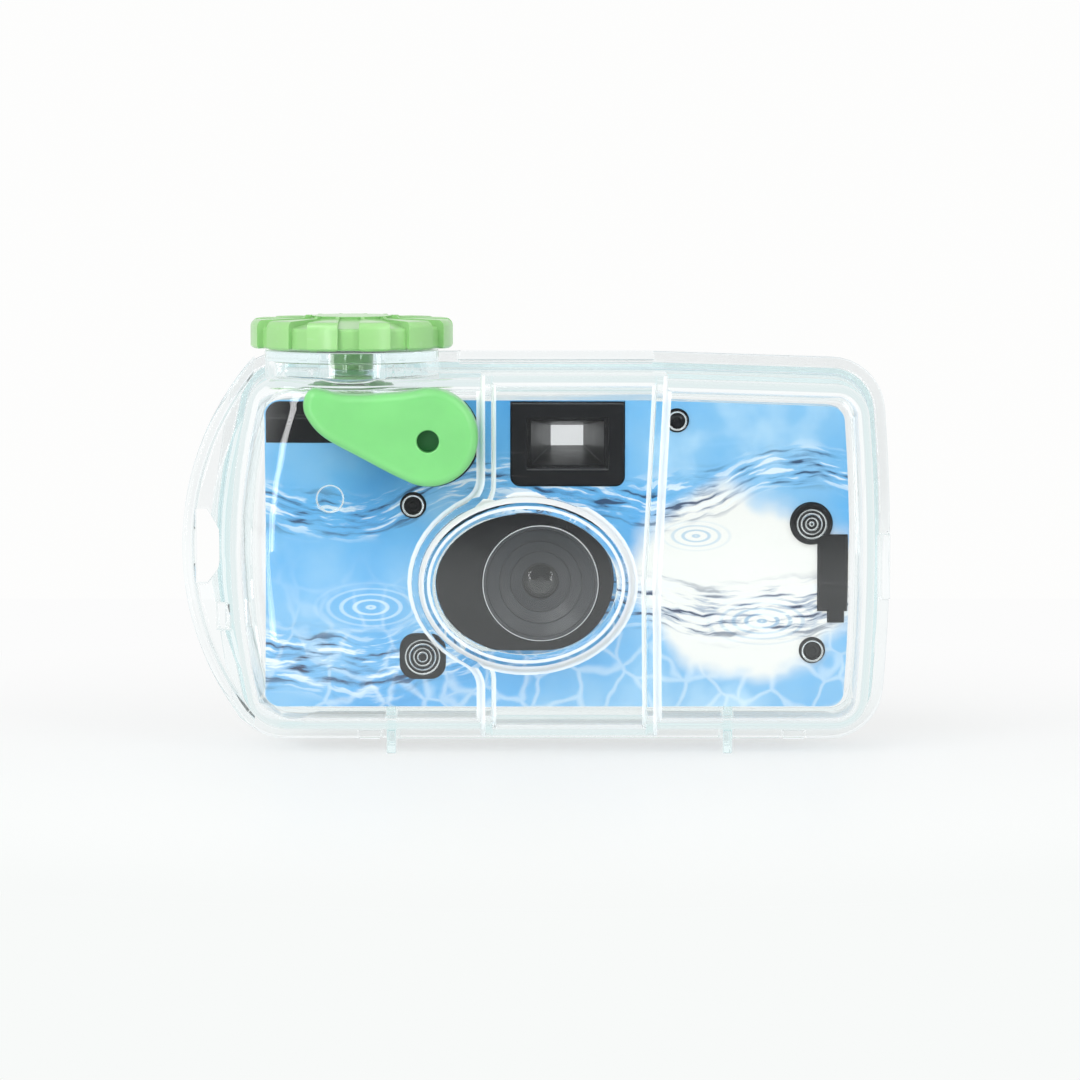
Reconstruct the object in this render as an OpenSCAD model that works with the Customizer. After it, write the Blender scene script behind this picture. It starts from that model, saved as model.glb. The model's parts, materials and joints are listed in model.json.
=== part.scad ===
// Waterproof single-use film camera: a film camera sealed in a clear two-part case.
// Millimetres, +Z up, the front faces -Y. The origin is under the middle, on the ground.

/* [Camera body] */
// Width of the camera inside the case
cam_w = 104.4; // [100:0.2:110]
// Height of the camera inside the case
cam_h = 55.3; // [54:0.1:58]
// Depth of the camera, front face to back face
cam_d = 28.6; // [28:0.1:32]
// Place of the camera's middle, across the case
cam_x = 3.5; // [2:0.1:5]
// Place of the camera's front face, from the origin
cam_front = -10.6; // [-12:0.1:-9]
// Wall of the camera's two covers
cam_wall = 1.4; // [1.2:0.1:1.8]
// Corner radius of the camera, seen from the front
cam_corner_r = 2.5; // [1.5:0.1:4]
// How far the camera's top slopes down at the right end
cam_drop = 1.1; // [0:0.1:2]
// Thickness of the printed label
label_t = 0.2; // [0.1:0.05:0.4]

/* [Clear case] */
// Wall of the clear case
wall = 2; // [1.6:0.1:2.4]
// Gap between the case and the camera's left end
gap_left = 5.4; // [5:0.1:6.5]
// Gap between the case and the camera's right end
gap_right = 4.2; // [3:0.1:6]
// Gap between the case and the camera's top
gap_top = 2.6; // [2:0.1:4]
// Gap between the case and the camera's bottom
gap_bottom = 2.9; // [2:0.1:4]
// Gap between the case and the label
gap_front = 2.5; // [2.3:0.1:3.5]
// Gap between the case and the camera's back
gap_back = 3.1; // [2.2:0.1:4]
// Corner radius of the case wall, seen from the front
case_corner_r = 6.5; // [6.2:0.1:9]
// Radius of the bulge of the case's left side
left_bulge_r = 120; // [90:5:200]
// Radius of the bulge of the case's right side
right_bulge_r = 300; // [200:10:500]
// Rounding of the case's front and back edges
case_edge_r = 4; // [3:0.1:4.5]
// Draft of the case walls towards the front and the back
case_draft = 0.5; // [0.2:0.1:0.8]
// How far the rounded grip on the left reaches across the front face
grip_reach = 10; // [8:0.1:11]
// How far the rounded grip reaches back along the left wall
grip_depth = 8; // [7:0.1:10]
// Width of the flange where the two case halves meet
flange_w = 3.6; // [3.4:0.1:4.5]
// Thickness of each half's flange
flange_t = 2; // [1.6:0.1:3]
// Depth of the plane where the two halves meet, from the origin
part_y = 10.5; // [10:0.1:12]
// Height of the flange above the ground
foot_h = 0.6; // [0.4:0.1:2]
// Width of a foot rib
foot_w = 1.8; // [1.4:0.1:3]
// Half the width of the raised band in front of the lens and viewfinder
band_half_w = 16.4; // [15:0.1:17]
// Middle of the raised band, from the lens axis
band_offset = 5.6; // [5:0.1:6.5]
// How far the band stands out in front of the case's front face
band_stand = 2.5; // [1.5:0.1:3]
// How far the band stands out over the case's top and bottom
band_lip = 0.9; // [0.4:0.1:1.5]

/* [Lens port] */
// Width of the oval port
port_w = 38.8; // [36:0.2:40]
// Height of the oval port
port_h = 31.6; // [29:0.2:33]
// Width of the port's rim
port_rim = 3.1; // [2.4:0.1:3.6]
// How far the rim stands out from the band
port_stand = 2.5; // [2:0.1:3.5]
// How deep the window lies behind the rim
window_recess = 1.5; // [1:0.1:2]

/* [Strap lug] */
// Radius of the lug's round outer edge
lug_r = 53; // [50:0.5:56]
// Reach of the lug's edge, left of the origin
lug_reach = 65.4; // [64:0.1:68]
// Thickness of the lug
lug_t = 5; // [4:0.1:6]
// Thickness of the bar outside the strap slot
lug_bar = 2.5; // [2:0.1:3]
// Width of the strap slot
slot_w = 4.4; // [4.2:0.1:4.8]
// Height of the strap slot
slot_h = 13.8; // [10:0.2:16]

/* [Advance knob] */
// Diameter of the knob
knob_d = 37.2; // [34:0.2:38]
// Height of the knob
knob_h = 5.8; // [5:0.1:7]
// Number of grip notches round the knob
knob_notches = 12; // [8:1:16]
// Width of a grip notch
notch_w = 3.9; // [2.5:0.1:4.5]
// Diameter of the knob's shaft
shaft_d = 8; // [7:0.1:9]
// Radius of the round turret under the knob
turret_r = 16; // [15:0.1:17]
// Gap between the knob and the turret
knob_gap = 0.4; // [0.3:0.1:1]
// Running clearance of a shaft in its bore, on the radius
run_gap = 0.05; // [0.02:0.01:0.08]

/* [Shutter lever] */
// Place of the lever's pivot, left of the lens axis
lever_dx = 20.2; // [19.8:0.1:21]
// Height of the lever's pivot above the lens axis
lever_dz = 26.2; // [25:0.1:28]
// Radius of the lever's round hub
lever_hub_r = 8.8; // [8:0.05:9]
// Distance from the pivot to the tip of the lever's finger end
lever_reach = 22.3; // [20:0.1:23]
// Thickness of the lever
lever_t = 7.1; // [6:0.1:8]
// Diameter of the lever's shaft
pivot_d = 4; // [3.4:0.1:4.6]
// Length of the crank arm on the inner end of the lever's shaft
crank_r = 5.7; // [5:0.1:6.2]

/* [Camera optics] */
// Lens axis, from the origin
lens_x = 0.8; // [0:0.1:2]
// Height of the lens axis above the camera's bottom
lens_up = 22.6; // [21.5:0.1:23.5]
// Radius of the round ends of the lens boss
boss_r = 12.5; // [11.5:0.1:13]
// How far the lens boss stands out from the camera's front
boss_stand = 4; // [3.4:0.1:4.2]
// Radius of the lens hood
hood_r = 10.6; // [9.5:0.1:11]
// Radius of the taking lens
lens_r = 4; // [3.4:0.1:4.4]
// Width of the viewfinder's front frame
finder_w = 20.4; // [18:0.1:21]
// Height of the viewfinder's front frame
finder_h = 15.1; // [13:0.1:16]
// Middle of the viewfinder, right of the lens axis
finder_dx = 4.9; // [4.4:0.1:5.5]
// Width of the viewfinder's front window
finder_win_w = 14.9; // [12:0.1:16]
// Height of the viewfinder's front window
finder_win_h = 9.6; // [8:0.1:10.5]

/* [Film] */
// Diameter of the film can
can_d = 25; // [24.6:0.1:25.4]
// Height of the film can
can_h = 42.4; // [41:0.1:43]
// Height of the film
film_h = 35; // [34:0.1:36]
// Thickness of the film
film_t = 0.16; // [0.12:0.02:0.3]
// Radius of the full film roll on the supply side
roll_r = 10.4; // [9:0.1:10.8]
// Radius of the film's first turn on the can's core
core_r = 5.8; // [5.4:0.1:7]
// Distance from the camera's right end to the supply roll's axis
supply_in = 14.2; // [13.8:0.1:15]
// Width of the picture gate
gate_w = 36; // [34:0.5:37]
// Height of the picture gate
gate_h = 24; // [22:0.5:25]
// Number of teeth on the film sprocket
sprocket_teeth = 8; // [6:1:10]
// Distance between two film perforations
perf_pitch = 4.75; // [4.5:0.05:5]
// Radius of the frame counter's dial
dial_r = 8.5; // [7.5:0.1:9]

/* [Hidden] */
$fn = 48;
eps = 0.02;
// Clearance between fixed pieces that slip together
slip = 0.1;
// Clearance between pieces that move past each other
clear = 0.3;
// How far a cut runs past the face it opens, and a reach past the whole object
over = 1;
beyond = 99;
// How far joined shapes of one piece run into each other
lap = 0.1;

// The camera's outside, with its label
cam_x0 = cam_x - cam_w / 2;
cam_x1 = cam_x + cam_w / 2;
cam_back = cam_front + cam_d;
label_front = cam_front - label_t;
cam_z0 = foot_h + flange_w + wall + gap_bottom;
cam_z1 = cam_z0 + cam_h;
split_y = cam_front + cam_d / 2;
shoulder_x = lens_x + 20;
cam_bulge = 0.9;

// The case wall's outside
case_x0 = cam_x0 - gap_left - wall;
case_x1 = cam_x1 + gap_right + wall;
case_z0 = cam_z0 - gap_bottom - wall;
case_z1 = cam_z1 + gap_top + wall;
case_front = label_front - gap_front - wall;
case_back = cam_back + gap_back + wall;
band_front = case_front - band_stand;
band_back = case_front + 11;
rim_front = band_front - port_stand;
window_front = rim_front + window_recess;
corner_steps = 8;
side_steps = 8;
edge_steps = 6;
grip_steps = 3;
// Radius of the left side's bulge at the front face
front_bulge_r = 75;

// Axes
lens_z = cam_z0 + lens_up;
wind_y = cam_front + cam_d / 2;
can_wall = 0.35;
can_core_r = 4.9;
cap_t = 0.6;
chamber_r = can_d / 2 + 0.25;
wind_x = cam_x0 + cam_wall + chamber_r + 0.7;
supply_x = cam_x1 - supply_in;
lever_x = lens_x - lever_dx;
lever_z = lens_z + lever_dz;
finder_x = lens_x + finder_dx;
finder_z = cam_z1 - finder_h / 2 - 0.1;
port_x = lens_x - 2.6;
port_z = lens_z + 0.2;

// Knob and turret
turret_top = case_z1 + flange_w + 0.6;
turret_z0 = case_z1 - 6;
turret_web = 0.4;
knob_z0 = turret_top + knob_gap;
knob_z1 = knob_z0 + knob_h;
knob_wall = 2.2;
shaft_r = shaft_d / 2;
shaft_z1 = knob_z1 - 1.6;
shaft_hole_r = shaft_r + 1.6;
bore_r = shaft_r + run_gap;
neck_r = shaft_r + 2.5;
neck_z0 = cam_z1 + 0.6;
ring_d = 1;
groove_w = ring_d + 0.2;
clip_r = shaft_r + 1;
clip_deep = 0.8;
clip_t = 0.55;
clip_slot = 0.7;
clip_z = neck_z0 - clear - clip_slot;
washer_t = 0.4;
washer_r = 8.6;
washer_sunk = 0.2;
groove_z = (neck_z0 + turret_top) / 2;

// Inside the camera, from the bottom up
can_z0 = cam_z0 + cam_wall + 0.2;
can_z1 = can_z0 + can_h;
deck_z = can_z1 + 0.3;
deck_t = 1;
wheel_z = deck_z + deck_t + clear;
wheel_t = 3.6;
wheel_r = 12;
wheel_teeth = 36;
tooth_h = 0.9;
wheel_hub_h = 1.8;
wheel_hub_wall = 0.4;
dog_r = 2.4;
dog_half = 1;
dog_deep = 5;
hub_top = wheel_z + wheel_t + wheel_hub_h;
key_w = 2;
key_l = 6;
key_h = 2.4;
shaft_z0 = hub_top + clear;

// Frame inside the camera
frame_t = 1.2;
floor_z = cam_z0 + cam_wall + slip;
plate_x0 = wind_x + chamber_r;
plate_x1 = supply_x - roll_r - 1;

// Film path
gate_y = cam_back - cam_wall - 3.2;
gate_t = 1.2;
throat_w = 7.2;
throat_h = 6.4;
film_y = gate_y + gate_t + 0.4;
film_z0 = lens_z - film_h / 2;
film_z1 = lens_z + film_h / 2;
spool_lip = 1.4;
supply_core_r = 4;
spool_pin_r = 1.6;
spool_head_r = 5.2;
film_gap = 0.2;
film_lead = 5.4;
film_straight = 6;
velvet_t = 0.8;
velvet_w = 4;
mouth_x = wind_x + 6.2;
perf_w = 2;
perf_h = 2.8;
perf_in = 2;

// Sprocket and counter
sprocket_r = sprocket_teeth * perf_pitch / (2 * PI);
sprocket_x = lens_x + gate_w / 2 + 5.2;
sprocket_y = film_y - film_t / 2 - 0.2 - sprocket_r;
sprocket_z = film_z1 - 3;
sprocket_t = 2;
axle_r = 1.2;
dial_dx = 4.4;
dial_dy = 7.4;
dial_drop = 3.5;
dial_x = sprocket_x + dial_dx;
dial_y = sprocket_y - dial_dy;
dial_z = cam_z1 - cam_wall - dial_drop;
dial_t = 0.8;
dial_pin_r = 1;
dial_pin_over = 0.4;
dial_teeth = 30;
gear_h = 2;
finger_z = dial_z - gear_h;
finger_t = 1;
finger_r = 1.6;
axle_drop = 3;
counter_w = 6;
counter_in = 2.4;
counter_d = 4.2;
counter_y1 = dial_y - counter_in;
counter_y0 = counter_y1 - counter_d;

// Lever, crank and release
lever_back = case_front - 0.7;
lever_front = lever_back - lever_t;
lever_edge_r = 1.6;
pivot_r = pivot_d / 2;
pivot_bore = pivot_r + run_gap;
pivot_boss_r = pivot_r + 2.4;
lever_hole = 2.6;
pivot_y0 = lever_front + lever_hole;
// The hub's middle and the finger end's outline, from the pivot; the outline is in parts of the reach
hub_off = [0.2, 0.6];
hub_sweep = [-118, 97];
finger_edge = [[-0.18, 0.391], [-0.36, 0.378], [-0.57, 0.368], [-0.735, 0.378], [-0.845, 0.407],
    [-0.915, 0.419], [-0.972, 0.389], [-1, 0.315], [-0.995, 0.235], [-0.955, 0.157], [-0.888, 0.074],
    [-0.78, -0.007], [-0.58, -0.114], [-0.31, -0.258]];
boss_face = lever_back + 0.2;
pivot_groove = (boss_face + case_front + wall) / 2;
crank_t = 1.6;
crank_y0 = label_front - 0.7 - crank_t;
crank_tip = 1.1;
crank_hub = 2.9;
tab_x0 = lever_x - crank_r - 2.3;
tab_x1 = lever_x - crank_r - 0.3;
tab_top = lever_z - crank_tip - 0.1;
tab_h = 5;
nose_h = 2.2;
nose_out = 1.8;
tab_y = cam_front + cam_wall + 0.3;
tab_d = 1.8;
tab_foot = 1.2;
tab_travel = 1.7;
spring_y = tab_y + tab_d / 2;
spring_x = (tab_x0 + tab_x1 + tab_foot) / 2;
spring_r = 0.85;
spring_wire = 0.35;
spring_turns = 6;
spring_h = 9;
spring_z0 = tab_top - tab_h - spring_h;

// Lens group, from the front back
boss_front = cam_front - boss_stand;
boss_half = 3.5;
boss_x = lens_x - 2.9;
boss_z = lens_z + 0.3;
lens_front = cam_front + 1.2;
lens_t = 2.3;
hood_back = lens_front + lens_t + 0.6;
stop_y = hood_back + 0.2;
stop_t = 0.3;
stop_r = 1.6;
stop_left = 7;
stop_right = 6;
stop_half_h = 6.5;
blade_y = stop_y + stop_t + 0.4;
blade_t = 0.3;
plate_y = blade_y + blade_t + 0.4;
plate_t = 1.2;
blade_dx = 9;
blade_dz = 5.5;
blade_pin_r = 0.8;
blade_leaf_r = 3;
blade_hub_r = 1.8;
blade_x = lens_x + blade_dx;
blade_z = lens_z + blade_dz;
pull_dx = 4;
blade_tail = [blade_x + pull_dx, blade_z - 0.4];
blade_tail_r = 0.8;
pull_r = 0.7;
pull_wire = 0.3;
pull_turns = 6;
pull_len = 7.5;
pull_z = blade_z + 1;
pull_y = blade_y + blade_t / 2 - 1.3;

// Feet, strap lug and seal of the case
feet = [lens_x - 27.2, lens_x + 34.1];
foot_y0 = case_front + 6;
foot_y1 = case_back - 6;
lug_x = -lug_reach + lug_r;
lug_z = lens_z + 4.9;
slot_x0 = -lug_reach + lug_bar;
slot_x1 = slot_x0 + slot_w;
slot_z = lug_z;
seal_in = 0.4;
seal_w = 1.2;
seal_deep = 0.8;

// Snap hooks of the rear half; each is [side, place along it, width]
hooks = [["top", lens_x + 2.8, 35.6], ["bottom", wind_x + 3, 4], ["bottom", cam_x1 - 8, 4],
    ["left", slot_z - slot_h / 2 - 6, 5], ["right", lens_z + 1, 12]];
hook_t = 1.4;
hook_in = flange_w - hook_t;
hook_bite = 1;
hook_gap = 0.15;
hook_head = 1.2;

// Round posts inside the case that hold the camera; each is [x, z, radius]
front_posts = [[lens_x - 38.1, lens_z + 15.2, 2.4], [lens_x - 23.1, lens_z + 13.9, 1.8],
    [lens_x + 49.3, lens_z - 12.5, 1.8], [lens_x + 24.7, lens_z + 29.3, 1.6]];
boss_over = 0.4;
boss_lift = 0.6;
post_ring_w = 0.75;
post_ring_deep = 1.4;
back_post_r = 2.2;
post_gap = 0.2;

// Other details of the camera's front: the latch at the right and the square boss at the left
latch_x = lens_x + 49.1;
latch_z = lens_z + 10.6;
latch_r = 3.7;
latch_bar_x = latch_x + 1.3;
latch_bar_z0 = latch_z - 15.8;
latch_bar_z1 = latch_z - 2.2;
latch_lift = 0.8;
latch_out = 0.6;
latch_tab = [1.8, 4.5];
latch_tab_h = 2.1;
latch_post_r = 2.6;
square_boss = [lens_x - 21.4, lens_z - 13.6];
square_w = 8;
square_r = 2.6;
square_boss_r = 3.1;
detail_lift = 0.9;
label_gap = 0.2;
bare_up = 25.2;
wrap_short = 3;
finder_front = label_front - 0.4;
finder_back = cam_back - cam_wall - 0.4;
finder_wall = 1;
objective_y = finder_front + 1.9;
objective_t = 1.2;
eye_hole_w = 9;
eye_hole_h = 7;
eye_lens_w = 6.8;
eye_lens_h = 4.8;
eye_lens_t = 1.4;
door_half = 8;
door_gap = 0.6;
door_d = 8.4;
door_y0 = split_y + door_gap;
door_y1 = door_y0 + door_d;

// Colours as they show in the case
clear_plastic = [0.93, 0.96, 0.97, 0.35];
green_plastic = [0.55, 0.89, 0.53];
black_plastic = [0.11, 0.11, 0.12];
grey_plastic = [0.3, 0.3, 0.31];
steel = [0.75, 0.76, 0.78];
print_blue = [0.36, 0.68, 0.92];
seal_teal = [0.25, 0.62, 0.66];
film_brown = [0.3, 0.22, 0.2];
white_plastic = [0.9, 0.9, 0.88];

// Points of an arc, both ends included
function arc(c, r, a0, a1, n) = [for (i = [0:n]) let (a = a0 + (a1 - a0) * i / n) c + r * [cos(a), sin(a)]];

// The same points without the two ends
function inner(points) = [for (i = [1:len(points) - 2]) points[i]];

// Outline of two circles and their outer tangents
function teardrop(c0, r0, c1, r1, n0, n1) =
    let (d = c1 - c0, a = atan2(d[1], d[0]), b = acos((r0 - r1) / norm(d)))
    concat(arc(c0, r0, a + b, a + 360 - b, n0), arc(c1, r1, a - b, a + b, n1));

function ellipse(c, rx, rz, n) = [for (i = [0:n - 1]) let (a = 360 * i / n) c + [rx * cos(a), rz * sin(a)]];

// A flat outline as a ring of points at depth y
function ring_at(outline, y) = [for (p = outline) [p[0], y, p[1]]];

// Rectangle with round corners, middle at c
function rounded(c, w, h, r) =
    let (x = w / 2 - r, z = h / 2 - r)
    concat(arc(c + [x, z], r, 0, 90, 6), arc(c + [-x, z], r, 90, 180, 6),
        arc(c + [-x, -z], r, 180, 270, 6), arc(c + [x, -z], r, 270, 360, 6));

// A regular star of n teeth: tips at r, roots h further in, a share of a tooth later
function toothed(n, r, h, share) =
    [for (i = [0:n - 1], k = [0, 1]) let (a = 360 * (i + share * k) / n, q = r - h * k) q * [cos(a), sin(a)]];

function clamp01(t) = max(0, min(1, t));

// Rounded rectangle whose top slopes down at the right end, and whose right end bulges
function cam_outline(grow) =
    let (r = cam_corner_r + grow, k = cam_corner_r, n = 8, z0 = cam_z0 + k, z1 = cam_z1 - cam_drop - k)
    concat(arc([cam_x0 + k, cam_z1 - k], r, 90, 180, 6), arc([cam_x0 + k, z0], r, 180, 270, 6),
        arc([cam_x1 - k, z0], r, 270, 360, 6),
        [for (i = [1:n - 1]) let (t = i / n)
            [cam_x1 + grow + 4 * cam_bulge * t * (1 - t), z0 + (z1 - z0) * t]],
        arc([cam_x1 - k, z1], r, 0, 90, 6), [[shoulder_x, cam_z1 + grow]]);

// Outline of the case wall, with bulging sides, grown outwards; left_in moves the left side in
function case_outline(grow, left_in = 0, bulge_r = left_bulge_r) =
    let (k = case_corner_r, r = k + grow, zm = (case_z0 + case_z1) / 2, h = (case_z1 - case_z0) / 2 - k,
        lc = [case_x0 + left_in + bulge_r, zm], rc = [case_x1 - right_bulge_r, zm],
        ls = bulge_r - k, rs = right_bulge_r - k,
        la = asin(h / ls), ra = asin(h / rs), rt = asin((h - cam_drop) / rs))
    concat(arc(lc + ls * [-cos(la), sin(la)], r, 90, 180 - la, corner_steps),
        inner(arc(lc, bulge_r + grow, 180 - la, 180 + la, side_steps)),
        arc(lc + ls * [-cos(la), -sin(la)], r, 180 + la, 270, corner_steps),
        arc(rc + rs * [cos(ra), -sin(ra)], r, 270, 360 - ra, corner_steps),
        inner(arc(rc, right_bulge_r + grow, -ra, rt, side_steps)),
        arc(rc + rs * [cos(rt), sin(rt)], r, rt, 90, corner_steps),
        [[shoulder_x, case_z1 + grow]]);

// Part of a quarter ellipse that is left at depth d, from 1 at the front to 0 at depth b
function rounding(d, b) = d >= b ? 0 : 1 - sqrt(1 - pow((b - d) / b, 2));

// Ring of the front half's wall at depth d behind its front y0: an edge of radius r all round,
// and the grip's wider rounding on the left; thin is what the wall takes off both
function front_ring(y0, y1, d, r, thin, grow) =
    let (edge = r * rounding(d, r), left = rounding(d, grip_depth - thin), reach = (grip_reach - thin) * left,
        draft = case_draft * (1 - d / (y1 - y0)))
    ring_at(case_outline(grow - draft - edge, max(0, reach - edge),
        left_bulge_r + (front_bulge_r - left_bulge_r) * left), y0 + d);

// Solid through a stack of rings, from the front one to the back one
module loft(rings) {
    n = len(rings[0]);
    m = len(rings);
    sides = [for (k = [0:m - 2], i = [0:n - 1]) let (j = (i + 1) % n, a = k * n)
        each [[a + i, a + j, a + n + j], [a + i, a + n + j, a + n + i]]];
    front_cap = [for (i = [0:n - 1]) n - 1 - i];
    back_cap = [for (i = [0:n - 1]) (m - 1) * n + i];
    polyhedron([for (ring = rings) each ring], concat([front_cap], sides, [back_cap]), convexity = 8);
}

// Front half of the case as a solid: front at y0, open end at y1, thinner all over by thin
module front_loft(y0, y1, thin, grow) {
    r = case_edge_r - thin;
    b = grip_depth - thin;
    depths = concat([for (i = [edge_steps:-1:0]) r * (1 - sin(90 * i / edge_steps))],
        [for (i = [1:grip_steps]) r + (b - r) * i / grip_steps], [y1 - y0]);
    loft([for (d = depths) front_ring(y0, y1, d, r, thin, grow - thin)]);
}

// Back half of the case as a solid: open end at y0, back at y1, rounded there by r
module rear_loft(y0, y1, r, grow) {
    loft(concat(
        [ring_at(case_outline(grow), y0)],
        [for (i = [0:edge_steps]) let (a = 90 * i / edge_steps)
            ring_at(case_outline(grow - case_draft - r * (1 - cos(a))), y1 - r * (1 - sin(a)))]));
}

// A flat X-Z shape made solid between two depths
module deep(y0, y1) {
    translate([0, y1, 0]) rotate([90, 0, 0]) linear_extrude(y1 - y0) children();
}

// A cylinder along Y between two depths
module rod(x, z, r, y0, y1) {
    translate([x, y1, z]) rotate([90, 0, 0]) cylinder(r = r, h = y1 - y0);
}

// A cylinder along Z between two heights
module post(x, y, r, z0, z1) {
    translate([x, y, z0]) cylinder(r = r, h = z1 - z0);
}

// A box given by its two far corners
module block(low, high) {
    translate(low) cube(high - low);
}

// A ring along Z
module tube(x, y, r_in, r_out, z0, z1) {
    difference() {
        post(x, y, r_out, z0, z1);
        post(x, y, r_in, z0 - over, z1 + over);
    }
}

// A turned piece on an axis along Y; its points are [radius, depth]
module turned_y(x, z, points) {
    translate([x, 0, z]) rotate([90, 0, 0]) rotate_extrude() polygon([for (p = points) [p[0], -p[1]]]);
}

// A turned piece on an axis along Z; its points are [radius, height]
module turned_z(x, y, points) {
    translate([x, y, 0]) rotate_extrude() polygon(points);
}

// A rubber ring of section d round a shaft's groove of radius groove_r, on the Z axis
module o_ring(groove_r, d) {
    rotate_extrude() translate([groove_r + d / 2, 0]) circle(d = d);
}

// One wire wound into a helix along Z, with flat ends
module coil(r, wire, turns, h) {
    steps = 8;
    sides = 6;
    count = turns * steps;
    rise = (h - wire) / count;
    loft([for (k = [0:count]) let (a = 360 * k / steps)
        [for (s = [0:sides - 1]) let (b = 360 * s / sides, q = r + wire / 2 * cos(b))
            [q * cos(a), q * sin(a), wire / 2 + rise * k + wire / 2 * sin(b)]]]);
}

// Clear case

// A block at a hook's place on the flange, between two distances from the case wall
module at_hook(hook, near, far, extra, y0, y1) {
    half = hook[2] / 2 + extra;
    at = hook[1];
    zm = (case_z0 + case_z1) / 2;
    x_left = case_x0 + left_bulge_r - sqrt(pow(left_bulge_r, 2) - pow(at - zm, 2));
    x_right = case_x1 - right_bulge_r + sqrt(pow(right_bulge_r, 2) - pow(at - zm, 2));
    drop = cam_drop * clamp01((at - shoulder_x) / (case_x1 - case_corner_r - shoulder_x));
    top = case_z1 - drop;
    if (hook[0] == "top") block([at - half, y0, top + near], [at + half, y1, top + far]);
    if (hook[0] == "bottom") block([at - half, y0, case_z0 - far], [at + half, y1, case_z0 - near]);
    if (hook[0] == "left") block([x_left - far, y0, at - half], [x_left - near, y1, at + half]);
    if (hook[0] == "right") block([x_right + near, y0, at - half], [x_right + far, y1, at + half]);
}

// Seen from the front: the raised band with its bulge round the lens port
module band_footprint(grow) {
    blend = 5;
    round_port = 1.3;
    x0 = lens_x + band_offset - band_half_w;
    x1 = x0 + 2 * band_half_w;
    flare = 1;
    offset(r = -blend, $fn = 32) offset(delta = blend + grow) {
        polygon([[x0, -beyond], [x1, -beyond], [x1 - flare, lens_z], [x1 + flare, case_z1],
            [x1 + flare, beyond], [x0, beyond]]);
        polygon(ellipse([port_x, port_z], port_w / 2 + round_port, port_h / 2 + round_port, 48));
    }
}

module band_solid() {
    intersection() {
        front_loft(band_front, part_y, 0, band_lip);
        deep(band_front - over, band_back) band_footprint(0);
    }
}

// Shallow field in the band round the viewfinder's window
module finder_field() {
    w = finder_w + 4.2;
    h = finder_h + 1.9;
    sunk = 0.4;
    deep(band_front - over, band_front + sunk)
        polygon(rounded([finder_x - 0.3, finder_z - 0.9], w, h, 2.5));
}

module band_hollow() {
    intersection() {
        front_loft(band_front + wall, part_y, wall, band_lip);
        deep(band_front, band_back + over) band_footprint(-wall);
    }
}

// The oval rim and its sunk window; the rim is a round bead
module port_solid() {
    c = [port_x, port_z];
    a = port_w / 2;
    b = port_h / 2;
    half = port_rim / 2;
    bead_h = 1.3;
    steps = 8;
    bead = [for (i = [0:steps]) let (t = 180 * i / steps)
        [half + half * cos(t), rim_front + bead_h * (1 - sin(t))]];
    profile = concat([[port_rim, window_front]], bead, [[0, band_front + wall / 2]]);
    loft([for (p = profile) ring_at(ellipse(c, a - p[0], b - p[0], 64), p[1])]);
}

module port_hollow() {
    deep(window_front + wall, band_front + 2 * wall)
        polygon(ellipse([port_x, port_z], port_w / 2 - wall, port_h / 2 - wall, 48));
}

// The lug's outline: a round edge that turns in under the case
module lug_outline() {
    inset = flange_w - 0.8;
    root = 4;
    end_r = 17;
    low = case_z0 - inset;
    intersection() {
        offset(r = end_r, $fn = 96) offset(delta = -end_r) intersection() {
            translate([lug_x, lug_z]) circle(lug_r + over, $fn = 160);
            translate([-beyond, low]) square([beyond, beyond]);
        }
        translate([-beyond, low]) square([beyond + case_x0 + root, case_z1 + inset - low]);
    }
}

// The lug has a bead along its round edge, and its web thickens towards the case
module lug_solid() {
    bead = 1.8;
    soft = 0.5;
    web_t = lug_t - 1.2;
    root_t = lug_t + 4;
    root_in = 10;
    edge_y = part_y - lug_t;
    intersection() {
        turned_y(lug_x, lug_z, [[0, part_y], [lug_r, part_y], [lug_r, edge_y + soft], [lug_r - soft, edge_y],
            [lug_r - bead, edge_y], [lug_r - bead - soft, part_y - web_t],
            [lug_r - root_in / 2, part_y - web_t], [lug_r - root_in, part_y - root_t],
            [0, part_y - root_t]], $fn = 160);
        deep(part_y - root_t - over, part_y + over) lug_outline();
    }
}

// The strap's D-shaped slot: its inner side has two slanted ends
module strap_slot() {
    slant = 0.55 * slot_w;
    deep(part_y - lug_t - over, part_y + flange_t + over)
        polygon([[slot_x0, slot_z - slot_h / 2], [slot_x1 - slant, slot_z - slot_h / 2],
            [slot_x1, slot_z - slot_h / 2 + 1.3 * slant], [slot_x1, slot_z + slot_h / 2 - 1.5 * slant],
            [slot_x1 - slant, slot_z + slot_h / 2], [slot_x0, slot_z + slot_h / 2]]);
}

module foot_ribs(y0, y1) {
    for (x = feet) block([x - foot_w / 2, y0, 0], [x + foot_w / 2, y1, case_z0 + wall / 2]);
}

// Ribs inside the front half that carry the camera
module rest_ribs() {
    for (x = feet)
        block([x - foot_w / 2, foot_y0, case_z0 + wall / 2],
            [x + foot_w / 2, part_y, cam_z0 - label_t - slip]);
}

// A round post inside the front wall, with rings round its end, over a boss of the camera
module ring_post(x, z, r) {
    w = post_ring_w;
    tip = cam_front - detail_lift - post_gap;
    sunk = tip - post_ring_deep;
    turned_y(x, z, [[0, case_front + wall / 2], [r, case_front + wall / 2], [r, tip], [r - w, tip],
        [r - w, sunk], [r - 2 * w, sunk], [r - 2 * w, tip], [r - 3 * w, tip], [r - 3 * w, sunk], [0, sunk]]);
}

// The part of a shape in front of, or behind, the plane where the halves meet
module front_only(y1) {
    intersection() {
        children();
        block([-beyond, -beyond, 0], [beyond, y1, beyond]);
    }
}

module rear_only(y0) {
    intersection() {
        children();
        block([-beyond, y0, 0], [beyond, beyond, beyond]);
    }
}

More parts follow.
